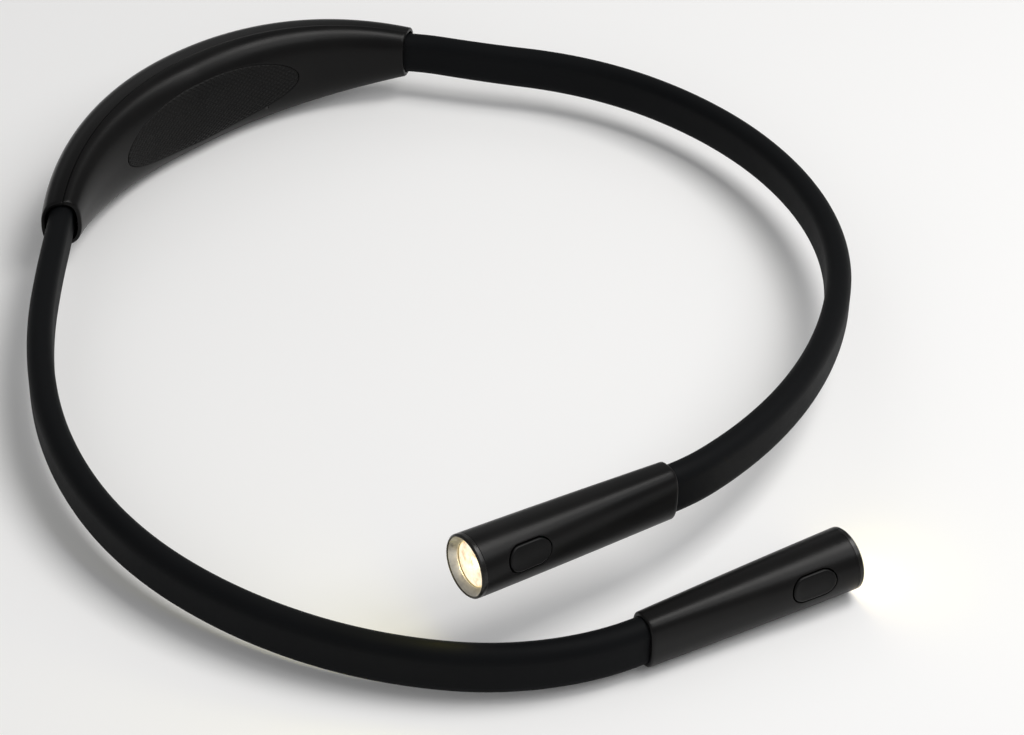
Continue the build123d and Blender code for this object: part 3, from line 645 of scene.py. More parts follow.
def cover(at, outer_side, count):
    """A pod cover as a closed shell. outer_side is True for the rear cover."""
    m = Mesh()
    out_rows, in_rows = [], []
    edge = 0.16
    for u, inset in STATIONS:
        a = parting_angle(u, at, inset)
        # a small round where the cover meets the parting line
        a2 = parting_angle(u, at + (edge if outer_side else -edge), inset)
        a3 = parting_angle(u, at, inset + edge)
        if outer_side:
            angles = [-a2 + 2 * a2 * k / count for k in range(count + 1)]
            row = [pod_point(u, -a3, inset + edge)] + [pod_point(u, t, inset) for t in angles]
            row += [pod_point(u, a3, inset + edge)]
        else:
            # vertices stand at even steps of direction round the section
            angles = [a2 + (2 * pi - 2 * a2) * k / count for k in range(count + 1)]
            row = [pod_point(u, a3, inset + edge)] + [pod_point(u, t, inset) for t in angles]
            row += [pod_point(u, -a3, inset + edge)]
        out_rows.append(m.ring(row))
        w = pod_wall(u)
        b = parting_angle(u, at, w)
        if outer_side:
            angles = [-b + 2 * b * k / count for k in range(count + 1)]
        else:
            angles = [b + (2 * pi - 2 * b) * k / count for k in range(count + 1)]
        row = [pod_point(u, t, w) for t in angles]
        in_rows.append(m.ring([row[0]] + row + [row[-1]]))
    return m, out_rows, in_rows


def close_cover(m, out_rows, in_rows, skip=None):
    n = len(out_rows[0])
    for i, (a, b) in enumerate(zip(out_rows, out_rows[1:])):
        for j in range(n - 1):
            if skip and skip(i, j):
                continue
            m.f.append((a[j], b[j], b[j + 1], a[j + 1]))
    for a, b in zip(in_rows, in_rows[1:]):
        for j in range(1, n - 2):
            m.f.append((a[j], a[j + 1], b[j + 1], b[j]))
    # parting faces
    for i in range(len(out_rows) - 1):
        a, b, c, d = out_rows[i], out_rows[i + 1], in_rows[i], in_rows[i + 1]
        m.f.append((a[0], c[1], d[1], b[0]))
        m.f.append((a[-1], b[-1], d[-2], c[-2]))
    # mouths
    for row, inn, flip in ((out_rows[0], in_rows[0], False), (out_rows[-1], in_rows[-1], True)):
        r2 = [inn[1]] + list(inn[1:-1]) + [inn[-2]]
        for j in range(n - 1):
            q = [row[j], row[j + 1], r2[j + 1], r2[j]]
            if q[2] == q[3]:
                q = q[:3]
            m.f.append(tuple(reversed(q)) if flip else tuple(q))


def tidy(o, angle=32.0):
    """Merges doubled points, turns the faces outward and marks the sharp edges again."""
    bm = bmesh.new()
    bm.from_mesh(o.data)
    bmesh.ops.remove_doubles(bm, verts=bm.verts, dist=1e-7)
    bmesh.ops.dissolve_degenerate(bm, edges=bm.edges, dist=1e-7)
    loose = [v for v in bm.verts if not v.link_faces]
    bmesh.ops.delete(bm, geom=loose, context="VERTS")
    bmesh.ops.recalc_face_normals(bm, faces=bm.faces)
    bm.to_mesh(o.data)
    bm.free()
    o.data.shade_smooth()
    o.data.set_sharp_from_angle(angle=radians(angle))


def cutter(parts):
    """A hidden solid that joins several closed shapes; it is removed after use."""
    m = Mesh()
    for verts, faces in parts:
        k = len(m.v)
        m.v += [tuple(v) for v in verts]
        m.f += [tuple(i + k for i in f) for f in faces]
    mesh = bpy.data.meshes.new("cutter")
    mesh.from_pydata([tuple(v) for v in np.asarray(m.v, float) * MM], [], m.f)
    o = bpy.data.objects.new("cutter", mesh)
    bpy.context.scene.collection.objects.link(o)
    return o


def prism(outline, origin, x, y, z, depth):
    """Closed prism of an outline in the x, y plane, from origin along z."""
    n = len(outline)
    o = np.asarray(origin, float)
    base = [o + x * a + y * b for a, b in outline]
    top = [p + z * depth for p in base]
    faces = [tuple(range(n))[::-1], tuple(range(n, 2 * n))]
    faces += [(i, (i + 1) % n, n + (i + 1) % n, n + i) for i in range(n)]
    return base + top, faces


def cut(o, parts, angle=32.0):
    """Takes closed shapes out of a piece, for good."""
    c = cutter(parts)
    mod = o.modifiers.new("cut", "BOOLEAN")
    mod.operation = "DIFFERENCE"
    mod.solver = "EXACT"
    mod.object = c
    dg = bpy.context.evaluated_depsgraph_get()
    new = bpy.data.meshes.new_from_object(o.evaluated_get(dg))
    o.modifiers.remove(mod)
    old = o.data
    o.data = new
    new.name = old.name
    bpy.data.meshes.remove(old)
    bpy.data.objects.remove(c)
    o.data.shade_smooth()
    o.data.set_sharp_from_angle(angle=radians(angle))


X, Y, Z = vec(1, 0, 0), vec(0, 1, 0), vec(0, 0, 1)


def slot_outline(length, width, n):
    """A capsule, its length along the first axis."""
    r = width / 2
    c = length / 2 - r
    pts = []
    for k in range(n + 1):
        a = -pi / 2 + pi * k / n
        pts.append((c + r * cos(a), r * sin(a)))
    for k in range(n + 1):
        a = pi / 2 + pi * k / n
        pts.append((-c + r * cos(a), r * sin(a)))
    return pts


PORT = prism(slot_outline(9.4, 3.6, 16), (POD_X, POD_Y + 2.45, -3), X, Y, Z, 12)

# ---- rear cover
m, outs, ins = cover(SEAM, True, 96)
close_cover(m, outs, ins)
rear_cover = make("outer_cover_shell", m.v, m.f, POD_MAT, None, 0)
tidy(rear_cover)
cut(rear_cover, [PORT])
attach(rear_cover, "pod")
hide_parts("outer_cover")

# ---- neck-side cover, with the pocket of the pad
N_IN = 130
m, outs, ins = cover(0.0, False, N_IN)


def row_angle(i, j):
    """Section direction of column j in row i, without its edge columns."""
    u, inset = STATIONS[i]
    a2 = parting_angle(u, -0.16, inset)
    return a2 + (2 * pi - 2 * a2) * (j - 1) / N_IN


I0 = min(range(len(STATIONS)), key=lambda i: abs(STATIONS[i][0] + 0.60))
I1 = min(range(len(STATIONS)), key=lambda i: abs(STATIONS[i][0] - 0.60))
MIDDLE = len(STATIONS) // 2
J0 = min(range(1, N_IN + 1), key=lambda j: abs(row_angle(MIDDLE, j) - radians(112)))
J1 = min(range(1, N_IN + 1), key=lambda j: abs(row_angle(MIDDLE, j) - radians(248)))
PAD_A, PAD_B = PAD_LENGTH / 2, PAD_HEIGHT / 2


def pad_edge(border, grow):
    """Places on the pad's oval for each point of the border, in (u, a)."""
    out = []
    for i, j in border:
        p = pod_point(STATIONS[i][0], row_angle(i, j))
        x, z = p[0] - POD_X, p[2] - PAD_Z
        t = math.atan2(z / PAD_B, x / PAD_A)
        out.append(pad_param((PAD_A + grow) * cos(t), PAD_Z + (PAD_B + grow) * sin(t)))
    return out


PLACE = {
    "coords": lambda border: [(STATIONS[i][0], row_angle(i, j)) for i, j in border],
    "point": lambda u, a: pod_point(u, a),
}
border = [(i, J0) for i in range(I0, I1)] + [(I1, j) for j in range(J0, J1)]
border += [(i, J1) for i in range(I1, I0, -1)] + [(I0, j) for j in range(J1, J0, -1)]
close_cover(m, outs, ins, skip=lambda i, j: I0 <= i < I1 and J0 <= j < J1)
edge = grid_hole(m, outs, I0, I1, J0, J1, lambda b: pad_edge(b, 0.34), PLACE, rings=12, ease=0.8)
last = edge
for grow, inset in ((0.26, 0.02), (0.19, 0.07), (0.15, 0.16), (0.13, 0.30), (0.13, 0.81)):
    now = m.ring([pod_point(u, a, inset) for u, a in pad_edge(border, grow)])
    m.band(last, now)
    last = now
for k in range(1, 9):
    t = 1 - k / 9
    pts = []
    for i, j in border:
        p = pod_point(STATIONS[i][0], row_angle(i, j))
        q = math.atan2((p[2] - PAD_Z) / PAD_B, (p[0] - POD_X) / PAD_A)
        u, a = pad_param((PAD_A + 0.13) * t * cos(q), PAD_Z + (PAD_B + 0.13) * t * sin(q), 0.81)
        pts.append(pod_point(u, a, 0.81))
    now = m.ring(pts)
    m.band(last, now)
    last = now
u, a = pad_param(0, PAD_Z, 0.81)
m.fan(last, pod_point(u, a, 0.81))
neck_cover = make("inner_cover_shell", m.v, m.f, POD_MAT, None, 0)
tidy(neck_cover)
holes = [PORT]
holes.append(prism(circle(0.65, 24), (POD_X + 21.3, POD_Y - 5.0, 6.4), X, Z, -Y, 12))
for x in (-24.7, 24.7):
    holes.append(prism(circle(1.15, 24), (POD_X + x, POD_Y - 4.0, POD_Z), X, Z, -Y, 7.6))
    holes.append(prism(circle(1.95, 24), (POD_X + x, POD_Y - 11.2, POD_Z), X, Z, -Y, 0.83))
cut(neck_cover, holes)
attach(neck_cover, "pod")
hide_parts("inner_cover")


# ---- oval pad, crossed by fine grooves
def pad_piece():
    pitch = 1.12        # from groove to groove, square to them
    lean = radians(38)
    d1 = vec(cos(lean), sin(lean))
    d2 = vec(cos(lean), -sin(lean))
    # lattice of diamonds: corners where the two families of grooves cross
    n1, n2 = vec(-d1[1], d1[0]), vec(-d2[1], d2[0])
    inv = np.linalg.inv(np.array([n1, n2]))
    cells = {}
    verts, faces = [], []

    def corner(i, j):
        key = (i, j)
        if key not in cells:
            p = inv @ vec(i * pitch, j * pitch)
            cells[key] = len(verts)
            verts.append((p[0], p[1], 0.0))
        return cells[key]

    reach = int((PAD_A + PAD_B) / pitch) + 4
    size = 0.70
    for i in range(-reach, reach):
        for j in range(-reach, reach):
            c = inv @ vec((i + 0.5) * pitch, (j + 0.5) * pitch)
            if abs(c[0]) > PAD_A + 2 or abs(c[1]) > PAD_B + 2:
                continue
            q = [corner(i, j), corner(i + 1, j), corner(i + 1, j + 1), corner(i, j + 1)]
            pts = [vec(*verts[k][:2]) for k in q]
            rows = [q]
            for shrink, h in ((0.80, 0.03), (0.62, 0.15), (0.40, 0.20)):
                k0 = len(verts)
                for p in pts:
                    w = c + (p - c) * shrink
                    verts.append((w[0], w[1], h))
                rows.append(list(range(k0, k0 + 4)))
            for a, b in zip(rows, rows[1:]):
                for k in range(4):
                    faces.append((a[k], a[(k + 1) % 4], b[(k + 1) % 4], b[k]))
            faces.append(tuple(rows[-1]))
    # close it below
    mesh = bpy.data.meshes.new("pad_pattern")
    mesh.from_pydata(verts, [], faces)
    bm = bmesh.new()
    bm.from_mesh(mesh)
    bmesh.ops.recalc_face_normals(bm, faces=bm.faces)
    rim = [e for e in bm.edges if e.is_boundary]
    ext = bmesh.ops.extrude_edge_only(bm, edges=rim)
    for v in [g for g in ext["geom"] if isinstance(g, bmesh.types.BMVert)]:
        v.co.z = -3.0
    low = [e for e in bm.edges if e.is_boundary]
    bmesh.ops.contextual_create(bm, geom=low)
    bmesh.ops.recalc_face_normals(bm, faces=bm.faces)
    bm.to_mesh(mesh)
    bm.free()
    slab = bpy.data.objects.new("pad_pattern", mesh)
    bpy.context.scene.collection.objects.link(slab)
    # the oval that is kept of it, with a rounded upper edge
    n = 260
    cm = Mesh()
    rings = []
    for grow, h in ((0.0, -0.75), (0.0, -0.10), (-0.05, 0.0), (-0.16, 0.09), (-0.34, 0.16), (-0.34, 3.0)):
        rings.append(cm.ring([((PAD_A + grow) * cos(2 * pi * k / n), (PAD_B + grow) * sin(2 * pi * k / n), h) for k in range(n)]))
    for a, b in zip(rings, rings[1:]):
        cm.band(a, b)
    cm.f.append(tuple(reversed(rings[0])))
    cm.f.append(tuple(rings[-1]))
    cmesh = bpy.data.meshes.new("pad_oval")
    cmesh.from_pydata(cm.v, [], cm.f)
    oval = bpy.data.objects.new("pad_oval", cmesh)
    bpy.context.scene.collection.objects.link(oval)
    mod = oval.modifiers.new("keep", "BOOLEAN")
    mod.operation = "INTERSECT"
    mod.solver = "EXACT"
    mod.object = slab
    dg = bpy.context.evaluated_depsgraph_get()
    new = bpy.data.meshes.new_from_object(oval.evaluated_get(dg))
    bm = bmesh.new()
    bm.from_mesh(new)
    bmesh.ops.triangulate(bm, faces=[f for f in bm.faces if len(f.verts) > 4])
    bmesh.ops.subdivide_edges(bm, edges=[e for e in bm.edges if e.calc_length() > 2.5], cuts=3, use_grid_fill=False)
    bmesh.ops.triangulate(bm, faces=[f for f in bm.faces if len(f.verts) > 4])
    for v in bm.verts:
        x, z, h = v.co
        inset = -h
        u, a = pad_param(x, PAD_Z + z, max(inset, -0.3))
        p = pod_point(u, a, max(inset, -0.3))
        v.co = tuple(p * MM)
    bmesh.ops.recalc_face_normals(bm, faces=bm.faces)
    bm.to_mesh(new)
    bm.free()
    for o in (slab, oval):
        d = o.data
        bpy.data.objects.remove(o)
        bpy.data.meshes.remove(d)
    new.name = "neck_pad_cross_grooved"
    new.materials.clear()
    new.materials.append(PAD_MAT)
    new.shade_smooth()
    new.set_sharp_from_angle(angle=radians(24))
    o = bpy.data.objects.new("neck_pad_cross_grooved", new)
    bpy.context.scene.collection.objects.link(o)
    return o


neck_pad = pad_piece()
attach(neck_pad, "pod")
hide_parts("neck_pad")


# ------------------------------------------------------------------ heads
def head_oval(x):
    k = min(1.0, max(0.0, x / HEAD_LENGTH))
    hd = HEAD_REAR_DEPTH / 2 + (HEAD_D - HEAD_REAR_DEPTH) / 2 * k
    hh = HEAD_REAR_HEIGHT / 2 + (HEAD_D - HEAD_REAR_HEIGHT) / 2 * k
    return hd, hh, 2.9 - 0.9 * k


def head_r(x, a, inset=0.0):
    hd, hh, n = head_oval(x)
    return oval_r(hd - inset, hh - inset, a, n)


def rect_r(w, h, r, a):
    """Radius of a rounded rectangle in direction a."""
    c, s = abs(cos(a)), abs(sin(a))
    hw, hh = w / 2, h / 2
    t = min(hw / max(c, 1e-9), hh / max(s, 1e-9))
    px, py = t * c, t * s
    if px > hw - r and py > hh - r:
        # meets the corner's circle
        cx, cy = hw - r, hh - r
        b = cx * c + cy * s
        q = cx * cx + cy * cy - r * r
        t = b + math.sqrt(max(0, b * b - q))
    return t


class Head:
    def __init__(self, arm):
        self.arm = arm
        self.p, self.f, self.l, self.u = arm.frame(arm.head)
        self.a_button = radians(BUTTON_UP) if arm.side > 0 else pi - radians(BUTTON_UP)
        self.out = self.l * cos(self.a_button) + self.u * sin(self.a_button)
        self.tan = np.cross(self.f, self.out)
        self.xc = HEAD_LENGTH - BUTTON_FROM_FRONT

    def at(self, x, r, a):
        return self.p + self.f * x + (self.l * cos(a) + self.u * sin(a)) * r

    def skin(self, x, a, inset=0.0):
        return self.at(x, head_r(x, a, inset), a)

    def angle_for(self, x, b, inset=0.0):
        """Direction whose place on the skin lies b to the side of the button's middle."""
        lo, hi = self.a_button - 1.3, self.a_button + 1.3
        sign = 1.0 if np.dot(self.skin(x, self.a_button + 0.5) - self.p, self.tan) > 0 else -1.0
        for _ in range(46):
            mid = (lo + hi) / 2
            q = self.skin(x, mid, inset)
            if np.dot(q - self.p, self.tan) * sign < b * sign:
                lo = mid
            else:
                hi = mid
        return (lo + hi) / 2


NA = 144


def capsule_at(t, length, width):
    """Point of a capsule in the direction t from its middle."""
    r = width / 2
    c = length / 2 - r
    dx, dy = cos(t), sin(t)
    # straight sides first
    if abs(dy) > 1e-9:
        k = r / abs(dy)
        if abs(dx * k) <= c:
            return dx * k, dy * k
    cx = math.copysign(c, dx)
    b = cx * dx
    k = b + math.sqrt(max(0, b * b - (c * c - r * r)))
    return dx * k, dy * k


def head_shell(side, arm):
    h = Head(arm)
    m = Mesh()
    step = 2 * pi / NA
    a0 = h.a_button - (NA // 2) * step
    ang = [a0 + k * step for k in range(NA)]  # the button's middle is column NA / 2
    xs = [(0.0, 0.42), (0.05, 0.26), (0.16, 0.12), (0.30, 0.04), (0.48, 0.0)]
    xs += [(0.48 + 0.75 * k, 0.0) for k in range(1, 75)]
    front = HEAD_LENGTH - BEZEL
    xs = [q for q in xs if q[0] < front - 0.35] + [(front - 0.07, 0.0), (front, 0.06)]
    grid = [m.ring([h.skin(x, a, i) for a in ang]) for x, i in xs]
    xi0 = min(range(len(xs)), key=lambda k: abs(xs[k][0] - (h.xc - 8.6)))
    xi1 = min(range(len(xs)), key=lambda k: abs(xs[k][0] - (h.xc + 8.6)))
    j0, j1 = NA // 2 - 19, NA // 2 + 19
    for i in range(len(xs) - 1):
        for j in range(NA):
            if xi0 <= i < xi1 and j0 <= j < j1:
                continue
            k = (j + 1) % NA
            m.f.append((grid[i][j], grid[i][k], grid[i + 1][k], grid[i + 1][j]))
    border = [(i, j0) for i in range(xi0, xi1)] + [(xi1, j) for j in range(j0, j1)]
    border += [(i, j1) for i in range(xi1, xi0, -1)] + [(xi0, j) for j in range(j1, j0, -1)]

    def window(length, width):
        out = []
        for i, j in border:
            x = xs[i][0]
            q = h.skin(x, ang[j])
            t = math.atan2(np.dot(q - h.p, h.tan), x - h.xc)
            dx, dy = capsule_at(t, length, width)
            out.append((h.xc + dx, h.angle_for(h.xc + dx, dy)))
        return out

    # the groove round the cap, with its rounded edge, reads about half a millimetre wide
    L, W = BUTTON_LENGTH + 2 * BUTTON_GAP + 0.16, BUTTON_WIDTH + 2 * BUTTON_GAP + 0.16
    place = {
        "coords": lambda b: [(xs[i][0], ang[j]) for i, j in b],
        "point": lambda x, a: h.skin(x, a),
    }
    r = 0.22
    edge = grid_hole(m, grid, xi0, xi1, j0, j1, lambda b: window(L + 2 * r, W + 2 * r), place, rings=7, ease=0.85)
    # rounded edge, then the wall that goes in square to the cap
    last = edge
    wall_in = None
    for k in range(1, 5):
        t = k / 4 * pi / 2
        g = r * (1 - sin(t))
        d = r * (1 - cos(t))
        pts = [h.skin(x, a) - h.out * d for x, a in window(L + 2 * g, W + 2 * g)]
        now = m.ring(pts)
        m.band(last, now)
        last = now
    mouth = window(L, W)
    # inner skin with the same window
    def inner_r(x, a):
        if x <= 12.2:
            return rect_r(7.2, 13.5, 3.5, a)
        if x > HEAD_LENGTH - 3.3:
            return 7.38
        if x > HEAD_LENGTH - 4.4:
            return 6.95
        return head_r(x, a, HEAD_WALL)

    ixs = [0.0, 6.0, 12.19, 12.21]
    ixs += [xs[i][0] for i in range(len(xs)) if 13.0 < xs[i][0] < HEAD_LENGTH - 4.6]
    ixs += [HEAD_LENGTH - 4.41, HEAD_LENGTH - 4.39, HEAD_LENGTH - 3.31, HEAD_LENGTH - 3.29, front]
    igrid = [m.ring([h.at(x, inner_r(x, a), a) for a in ang]) for x in ixs]
    ii0 = min(range(len(ixs)), key=lambda k: abs(ixs[k] - xs[xi0][0]))
    ii1 = min(range(len(ixs)), key=lambda k: abs(ixs[k] - xs[xi1][0]))
    for i in range(len(ixs) - 1):
        for j in range(NA):
            if ii0 <= i < ii1 and j0 <= j < j1:
                continue
            k = (j + 1) % NA
            m.f.append((igrid[i][j], igrid[i + 1][j], igrid[i + 1][k], igrid[i][k]))
    ib = [(i, j0) for i in range(ii0, ii1)] + [(ii1, j) for j in range(j0, j1)]
    ib += [(i, j1) for i in range(ii1, ii0, -1)] + [(ii0, j) for j in range(j1, j0, -1)]
    inner_border = [igrid[i][j] for i, j in ib]
    # the wall's foot on the inner skin
    foot = []
    for x, a in mouth:
        q = h.skin(x, a)
        side_b = np.dot(q - h.p, h.tan)
        t = h.angle_for(x, side_b, HEAD_WALL)
        foot.append((x, t))
    low = m.ring([h.skin(x, a, HEAD_WALL) for x, a in foot])
    m.band(last, low)
    mid = m.ring([
        h.skin(xs[i][0] * 0.5 + f[0] * 0.5, ang[j] * 0.5 + f[1] * 0.5, HEAD_WALL) for (i, j), f in zip(border, foot)
    ])
    m.band(low, mid)
    m.band(mid, inner_border)
    # rear and front rims
    for j in range(NA):
        k = (j + 1) % NA
        m.f.append((grid[0][j], igrid[0][j], igrid[0][k], grid[0][k]))
        m.f.append((grid[-1][j], grid[-1][k], igrid[-1][k], igrid[-1][j]))
    o = make(f"{side}_head_casing", m.v, m.f, HEAD_MAT, None, 0)
    tidy(o, 30)
    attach(o, f"{side}_head")
    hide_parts(f"{side}_head_shell")
    return h


def button(side, h):
    """Capsule cap: a rounded edge that stands a little proud round a faintly dished top."""
    m = Mesh()
    n = 120
    L, W = BUTTON_LENGTH, BUTTON_WIDTH
    dirs = [2 * pi * (k + 0.5) / n for k in range(n)]

    def ring_at(shrink, rise):
        pts = []
        for t in dirs:
            dx, dy = capsule_at(t, L - 2 * shrink, W - 2 * shrink)
            a = h.angle_for(h.xc + dx, dy)
            pts.append(h.skin(h.xc + dx, a) + h.out * rise)
        return pts

    def flat_at(shrink, r):
        return [
            h.p + h.f * (h.xc + dx) + h.tan * dy + h.out * r
            for dx, dy in (capsule_at(t, L - 2 * shrink, W - 2 * shrink) for t in dirs)
        ]

    proud = 0.22
    rings = [m.ring(flat_at(0.0, 5.75))]
    edge = 0.38
    for k in range(0, 7):
        t = pi / 2 * k / 6
        rings.append(m.ring(ring_at(edge * (1 - cos(t)), proud - edge * (1 - sin(t)))))
    for shrink, rise in ((0.62, 0.205), (0.9, 0.165), (1.2, 0.125), (1.6, 0.09), (2.1, 0.07), (2.6, 0.06), (3.1, 0.055)):
        rings.append(m.ring(ring_at(shrink, rise)))
    for a, b in zip(rings, rings[1:]):
        m.band(a, b)
    # close the top along its middle line
    top = rings[-1]
    centre = []
    for t in dirs:
        dx, dy = capsule_at(t, L - 2 * 3.1, W - 2 * 3.1)
        cx = max(-(L / 2 - W / 2), min(L / 2 - W / 2, dx))
        a = h.angle_for(h.xc + cx, 0.0)
        centre.append(h.skin(h.xc + cx, a) + h.out * 0.055)
    mid = m.ring(centre)
    m.band(top, mid)
    # underside, with the tongue and the post
    c = h.p + h.f * h.xc + h.out * 5.75
    m.fan(rings[0], c, flip=True)
    extra = []
    for verts, faces in (
        prism([(3.0, -1.2), (6.6, -1.2), (6.6, 1.2), (3.0, 1.2)], h.p + h.f * h.xc + h.out * 5.76, h.f, h.tan, h.out, 0.38),
        prism([(-6.8, -1.2), (-3.0, -1.2), (-3.0, 1.2), (-6.8, 1.2)], h.p + h.f * h.xc + h.out * 5.15, h.f, h.tan, h.out, 0.64),
        prism(circle(1.2, 24), h.p + h.f * h.xc + h.out * 3.3, h.f, h.tan, h.out, 2.6),
    ):
        extra.append((verts, faces))
    o = make(f"{side}_push_button", m.v, m.f, BUTTON_MAT, None, 0)
    tidy(o, 38)
    c = cutter(extra)
    mod = o.modifiers.new("join", "BOOLEAN")
    mod.operation = "UNION"
    mod.solver = "EXACT"
    mod.object = c
    dg = bpy.context.evaluated_depsgraph_get()
    new = bpy.data.meshes.new_from_object(o.evaluated_get(dg))
    o.modifiers.remove(mod)
    o.data = new
    bpy.data.objects.remove(c)
    o.data.shade_smooth()
    o.data.set_sharp_from_angle(angle=radians(38))
    o.data.materials.clear()
    o.data.materials.append(BUTTON_MAT)
    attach(o, f"{side}_button")
    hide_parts(f"{side}_button_cap")
    return o


def turned(name, h, profile, material, body, replaces=(), n=160, sharp=30):
    """A turned piece; profile is (distance behind the front, radius), closed."""
    m = Mesh()
    rings = []
    for d, r in profile:
        rings.append(m.ring([h.at(HEAD_LENGTH - d, r, 2 * pi * k / n) for k in range(n)]))
    for a, b in zip(rings, rings[1:] + rings[:1]):
        m.band(a, b)
    o = make(name, m.v, m.f, material, None, 0)
    tidy(o, sharp)
    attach(o, body)
    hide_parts(*replaces)
    return o


def rounded(points, r=0.08, steps=4):
    """Rounds the corners of a closed profile."""
    out = []
    n = len(points)
    for i in range(n):
        a, b, c = vec(*points[i - 1]), vec(*points[i]), vec(*points[(i + 1) % n])
        la, lc = np.linalg.norm(a - b), np.linalg.norm(c - b)
        k = min(r, la * 0.4, lc * 0.4)
        p, q = b + (a - b) / la * k, b + (c - b) / lc * k
        for s in range(steps + 1):
            t = s / steps
            out.append(tuple((1 - t) ** 2 * p + 2 * t * (1 - t) * b + t * t * q))
    return out


def lens_material(name, edge=False):
    """Warm lit lens: bright cream with soft darker and pinker patches; its edge is plain yellow."""
    n = Nodes(name)
    p = n.principled()
    p.inputs["Roughness"].default_value = 0.22
    patches = n.noise(420, 2.0, 0.55)
    small = n.noise(1300, 2.0, 0.5)
    mix = n.add("ShaderNodeMath", operation="MULTIPLY_ADD")
    n.link(small.outputs["Fac"], mix.inputs[0])
    mix.inputs[1].default_value = 0.35
    n.link(patches.outputs["Fac"], mix.inputs[2])
    tint = n.ramp(mix.outputs[0], [(0.46, (0.82, 0.52, 0.33)), (0.56, (0.98, 0.78, 0.54)), (0.66, (1.0, 0.91, 0.70)), (0.88, (1.0, 0.96, 0.82))])
    base = n.ramp(mix.outputs[0], [(0.46, (0.10, 0.06, 0.035)), (0.9, (0.22, 0.19, 0.15))])
    n.link(base.outputs["Color"], p.inputs["Base Color"])
    if edge:
        tint = n.ramp(mix.outputs[0], [(0.4, (0.95, 0.72, 0.30)), (0.8, (1.0, 0.82, 0.42))])
    n.link(tint.outputs["Color"], p.inputs["Emission Color"])
    p.inputs["Emission Strength"].default_value = 0.90
    return n.m


LENS_MAT = lens_material("lit_lens")
LENS_EDGE_MAT = lens_material("lit_lens_edge", True)
LENS_BACK_MAT = plastic("lens_back", (0.10, 0.085, 0.06), (0.14, 0.12, 0.085), 0.4, 0.05, 3000, 0.1)


def lens(side, h):
    """Domed lens with a fine honeycomb of low swellings."""
    m = Mesh()
    n, rows = 120, 40
    r_max = 5.7
    crown = (5.7**2 + 0.45**2) / (2 * 0.45)
    hexes = []
    p = 1.15
    for i in range(-8, 9):
        for j in range(-8, 9):
            c = (p * (i + 0.5 * (j % 2)), p * 0.866 * j)
            if math.hypot(*c) < r_max + 1:
                hexes.append(c)
    hexes = np.array(hexes)

    def depth(x, y):
        rr = x * x + y * y
        d = 1.75 + crown - math.sqrt(crown * crown - rr)
        near = np.min((hexes[:, 0] - x) ** 2 + (hexes[:, 1] - y) ** 2)
        fade = max(0.0, min(1.0, (5.35 - math.sqrt(rr)) / 0.3))
        return d + 0.05 - fade * 0.11 * max(0, 1 - near / (0.6 * p) ** 2)

    front = h.p + h.f * HEAD_LENGTH
    rings = []
    for k in range(1, rows + 1):
        r = r_max * k / rows
        pts = []
        for j in range(n):
            t = 2 * pi * j / n
            x, y = r * cos(t), r * sin(t)
            pts.append(front - h.f * depth(x, y) + h.l * x + h.u * y)
        rings.append(m.ring(pts))
    centre = m.ring([front - h.f * depth(0, 0)])[0]
    for j in range(n):
        m.f.append((centre, rings[0][j], rings[0][(j + 1) % n]))
    for a, b in zip(rings, rings[1:]):
        m.band(a, b)
    last = rings[-1]
    for d, r in ((2.28, 5.95), (3.4, 5.95)):
        now = m.ring([h.at(HEAD_LENGTH - d, r, 2 * pi * j / n) for j in range(n)])
        m.band(last, now)
        last = now
    m.fan(last, front - h.f * 3.4)
    o = make(f"{side}_moulded_lens", m.v, m.f, LENS_MAT, None, 0)
    tidy(o, 45)
    # only the moulded face is lit; the edge and the back are plain
    o.data.materials.append(LENS_BACK_MAT)
    o.data.materials.append(LENS_EDGE_MAT)
    for f in o.data.polygons:
        c = vec(*f.center) / MM - front
        if -float(np.dot(c, h.f)) > 2.24:
            f.material_index = 1
        elif math.hypot(float(np.dot(c, h.l)), float(np.dot(c, h.u))) > 5.35:
            f.material_index = 2
    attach(o, f"{side}_head")
    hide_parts(f"{side}_lens")
    return o


BEZEL_PROFILE = ((0.0, 7.38), (0.0, 7.56), (0.42, 7.98), (1.48, 7.98), (1.48, 7.34), (3.2, 7.34), (3.2, 6.99), (1.04, 6.99), (1.04, 7.38))
CONE_PROFILE = ((0.3, 7.34), (1.0, 7.34), (1.0, 6.95), (3.3, 6.95), (3.3, 6.4), (6.6, 6.4), (6.6, 6.0), (2.15, 6.0), (2.15, 5.75), (1.85, 5.75))
heads = {}
for side, arm in ARMS:
    h = head_shell(side, arm)
    heads[side] = h
    button(side, h)
    turned(f"{side}_front_bezel", h, rounded(BEZEL_PROFILE, 0.09), BEZEL_MAT, f"{side}_head", (f"{side}_head_bezel",))
    turned(f"{side}_silver_cone", h, rounded(CONE_PROFILE, 0.07), CONE_MAT, f"{side}_head", (f"{side}_reflector",))
    lens(side, h)

# ------------------------------------------------------------------ stage and light
scene = bpy.context.scene
world = bpy.data.worlds.new("studio")
scene.world = world
world.use_nodes = True
bg = world.node_tree.nodes["Background"]
bg.inputs["Color"].default_value = (1.0, 1.0, 1.0, 1.0)
bg.inputs["Strength"].default_value = 0.33
scene.view_settings.view_transform = "Standard"
scene.view_settings.look = "None"

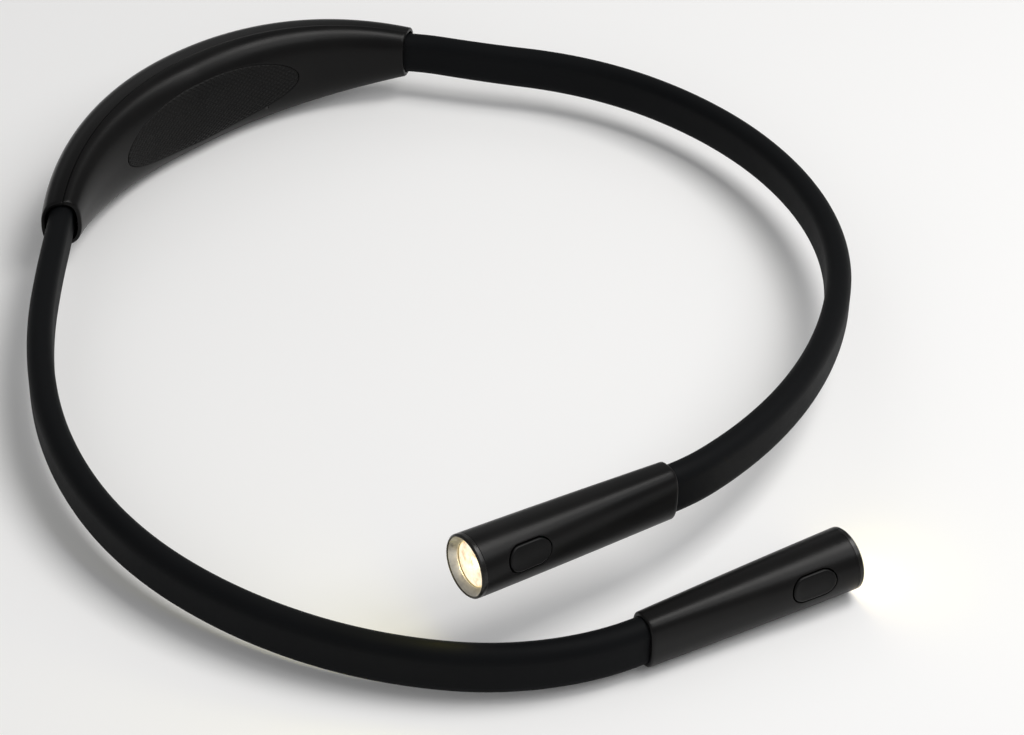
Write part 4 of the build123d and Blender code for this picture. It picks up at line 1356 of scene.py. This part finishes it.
floor_mesh = bpy.data.meshes.new("studio_floor")
floor_mesh.from_pydata([(-6, -6, -0.0006), (6, -6, -0.0006), (6, 6, -0.0006), (-6, 6, -0.0006)], [], [(0, 1, 2, 3)])
floor = bpy.data.objects.new("studio_floor", floor_mesh)
scene.collection.objects.link(floor)
fm = Nodes("pale_floor")
fp = fm.principled()
fp.inputs["Roughness"].default_value = 0.95
fp.inputs["Specular IOR Level"].default_value = 0.1
g = fm.noise(6.0, 2.0)
fm.link(fm.ramp(g.outputs["Fac"], [(0.3, (0.93, 0.93, 0.93)), (0.7, (0.94, 0.94, 0.94))]).outputs["Color"], fp.inputs["Base Color"])
floor_mesh.materials.append(fm.m)


def area(name, place, target, size, power, color=(1, 1, 1), along=(1, 0, 0), shape="RECTANGLE"):
    """A soft box; the first of its sizes lies as nearly as possible along the given direction."""
    d = bpy.data.lights.new(name, "AREA")
    d.shape = shape
    d.size, d.size_y = size
    d.energy = power
    d.color = color
    back = (Vector(place) - Vector(target)).normalized()
    first = (Vector(along) - back * Vector(along).dot(back)).normalized()
    second = back.cross(first)
    turn = Matrix((first, second, back)).transposed().to_4x4()
    o = bpy.data.objects.new(name, d)
    o.matrix_world = Matrix.Translation(place) @ turn
    o.visible_camera = False
    scene.collection.objects.link(o)
    return o


area("key_strip", (0.38, -0.31, 1.04), (0.0, 0.0, 0.0), (0.60, 0.42), 6.4, (1.0, 0.985, 0.965))
area("key_skirt", (0.30, -0.74, 0.84), (0.0, 0.0, 0.0), (0.60, 0.48), 3.0)
area("back_softbox", (0.55, 1.25, 0.9), (0.0, 0.05, 0.0), (1.2, 0.5), 0.9)
area("front_softbox", (-1.2, -0.6, 0.8), (0.0, 0.0, 0.0), (0.9, 0.9), 1.9)
# warm light from each lamp, on the table in front of it and on its own silver cone
for side, h in heads.items():
    front = h.p + h.f * (HEAD_LENGTH + 1.5)
    ahead = front + h.f * 50
    ahead = ahead + vec(0, 14.0 if side == "left" else 0.0, -6.0 if side == "left" else 0.0)
    power = 0.0040 if side == "left" else 0.0012
    area(f"{side}_beam", tuple(front * MM), tuple(ahead * MM), (0.010, 0.010), power, (1.0, 0.93, 0.10), (0, 0, 1), "DISK")
    d = bpy.data.lights.new(f"{side}_cone_glow", "POINT")
    d.energy = 0.0022
    d.color = (1.0, 0.80, 0.45)
    d.shadow_soft_size = 0.002
    o = bpy.data.objects.new(f"{side}_cone_glow", d)
    o.location = tuple((h.p + h.f * (HEAD_LENGTH + 1.0)) * MM)
    o.visible_camera = False
    scene.collection.objects.link(o)
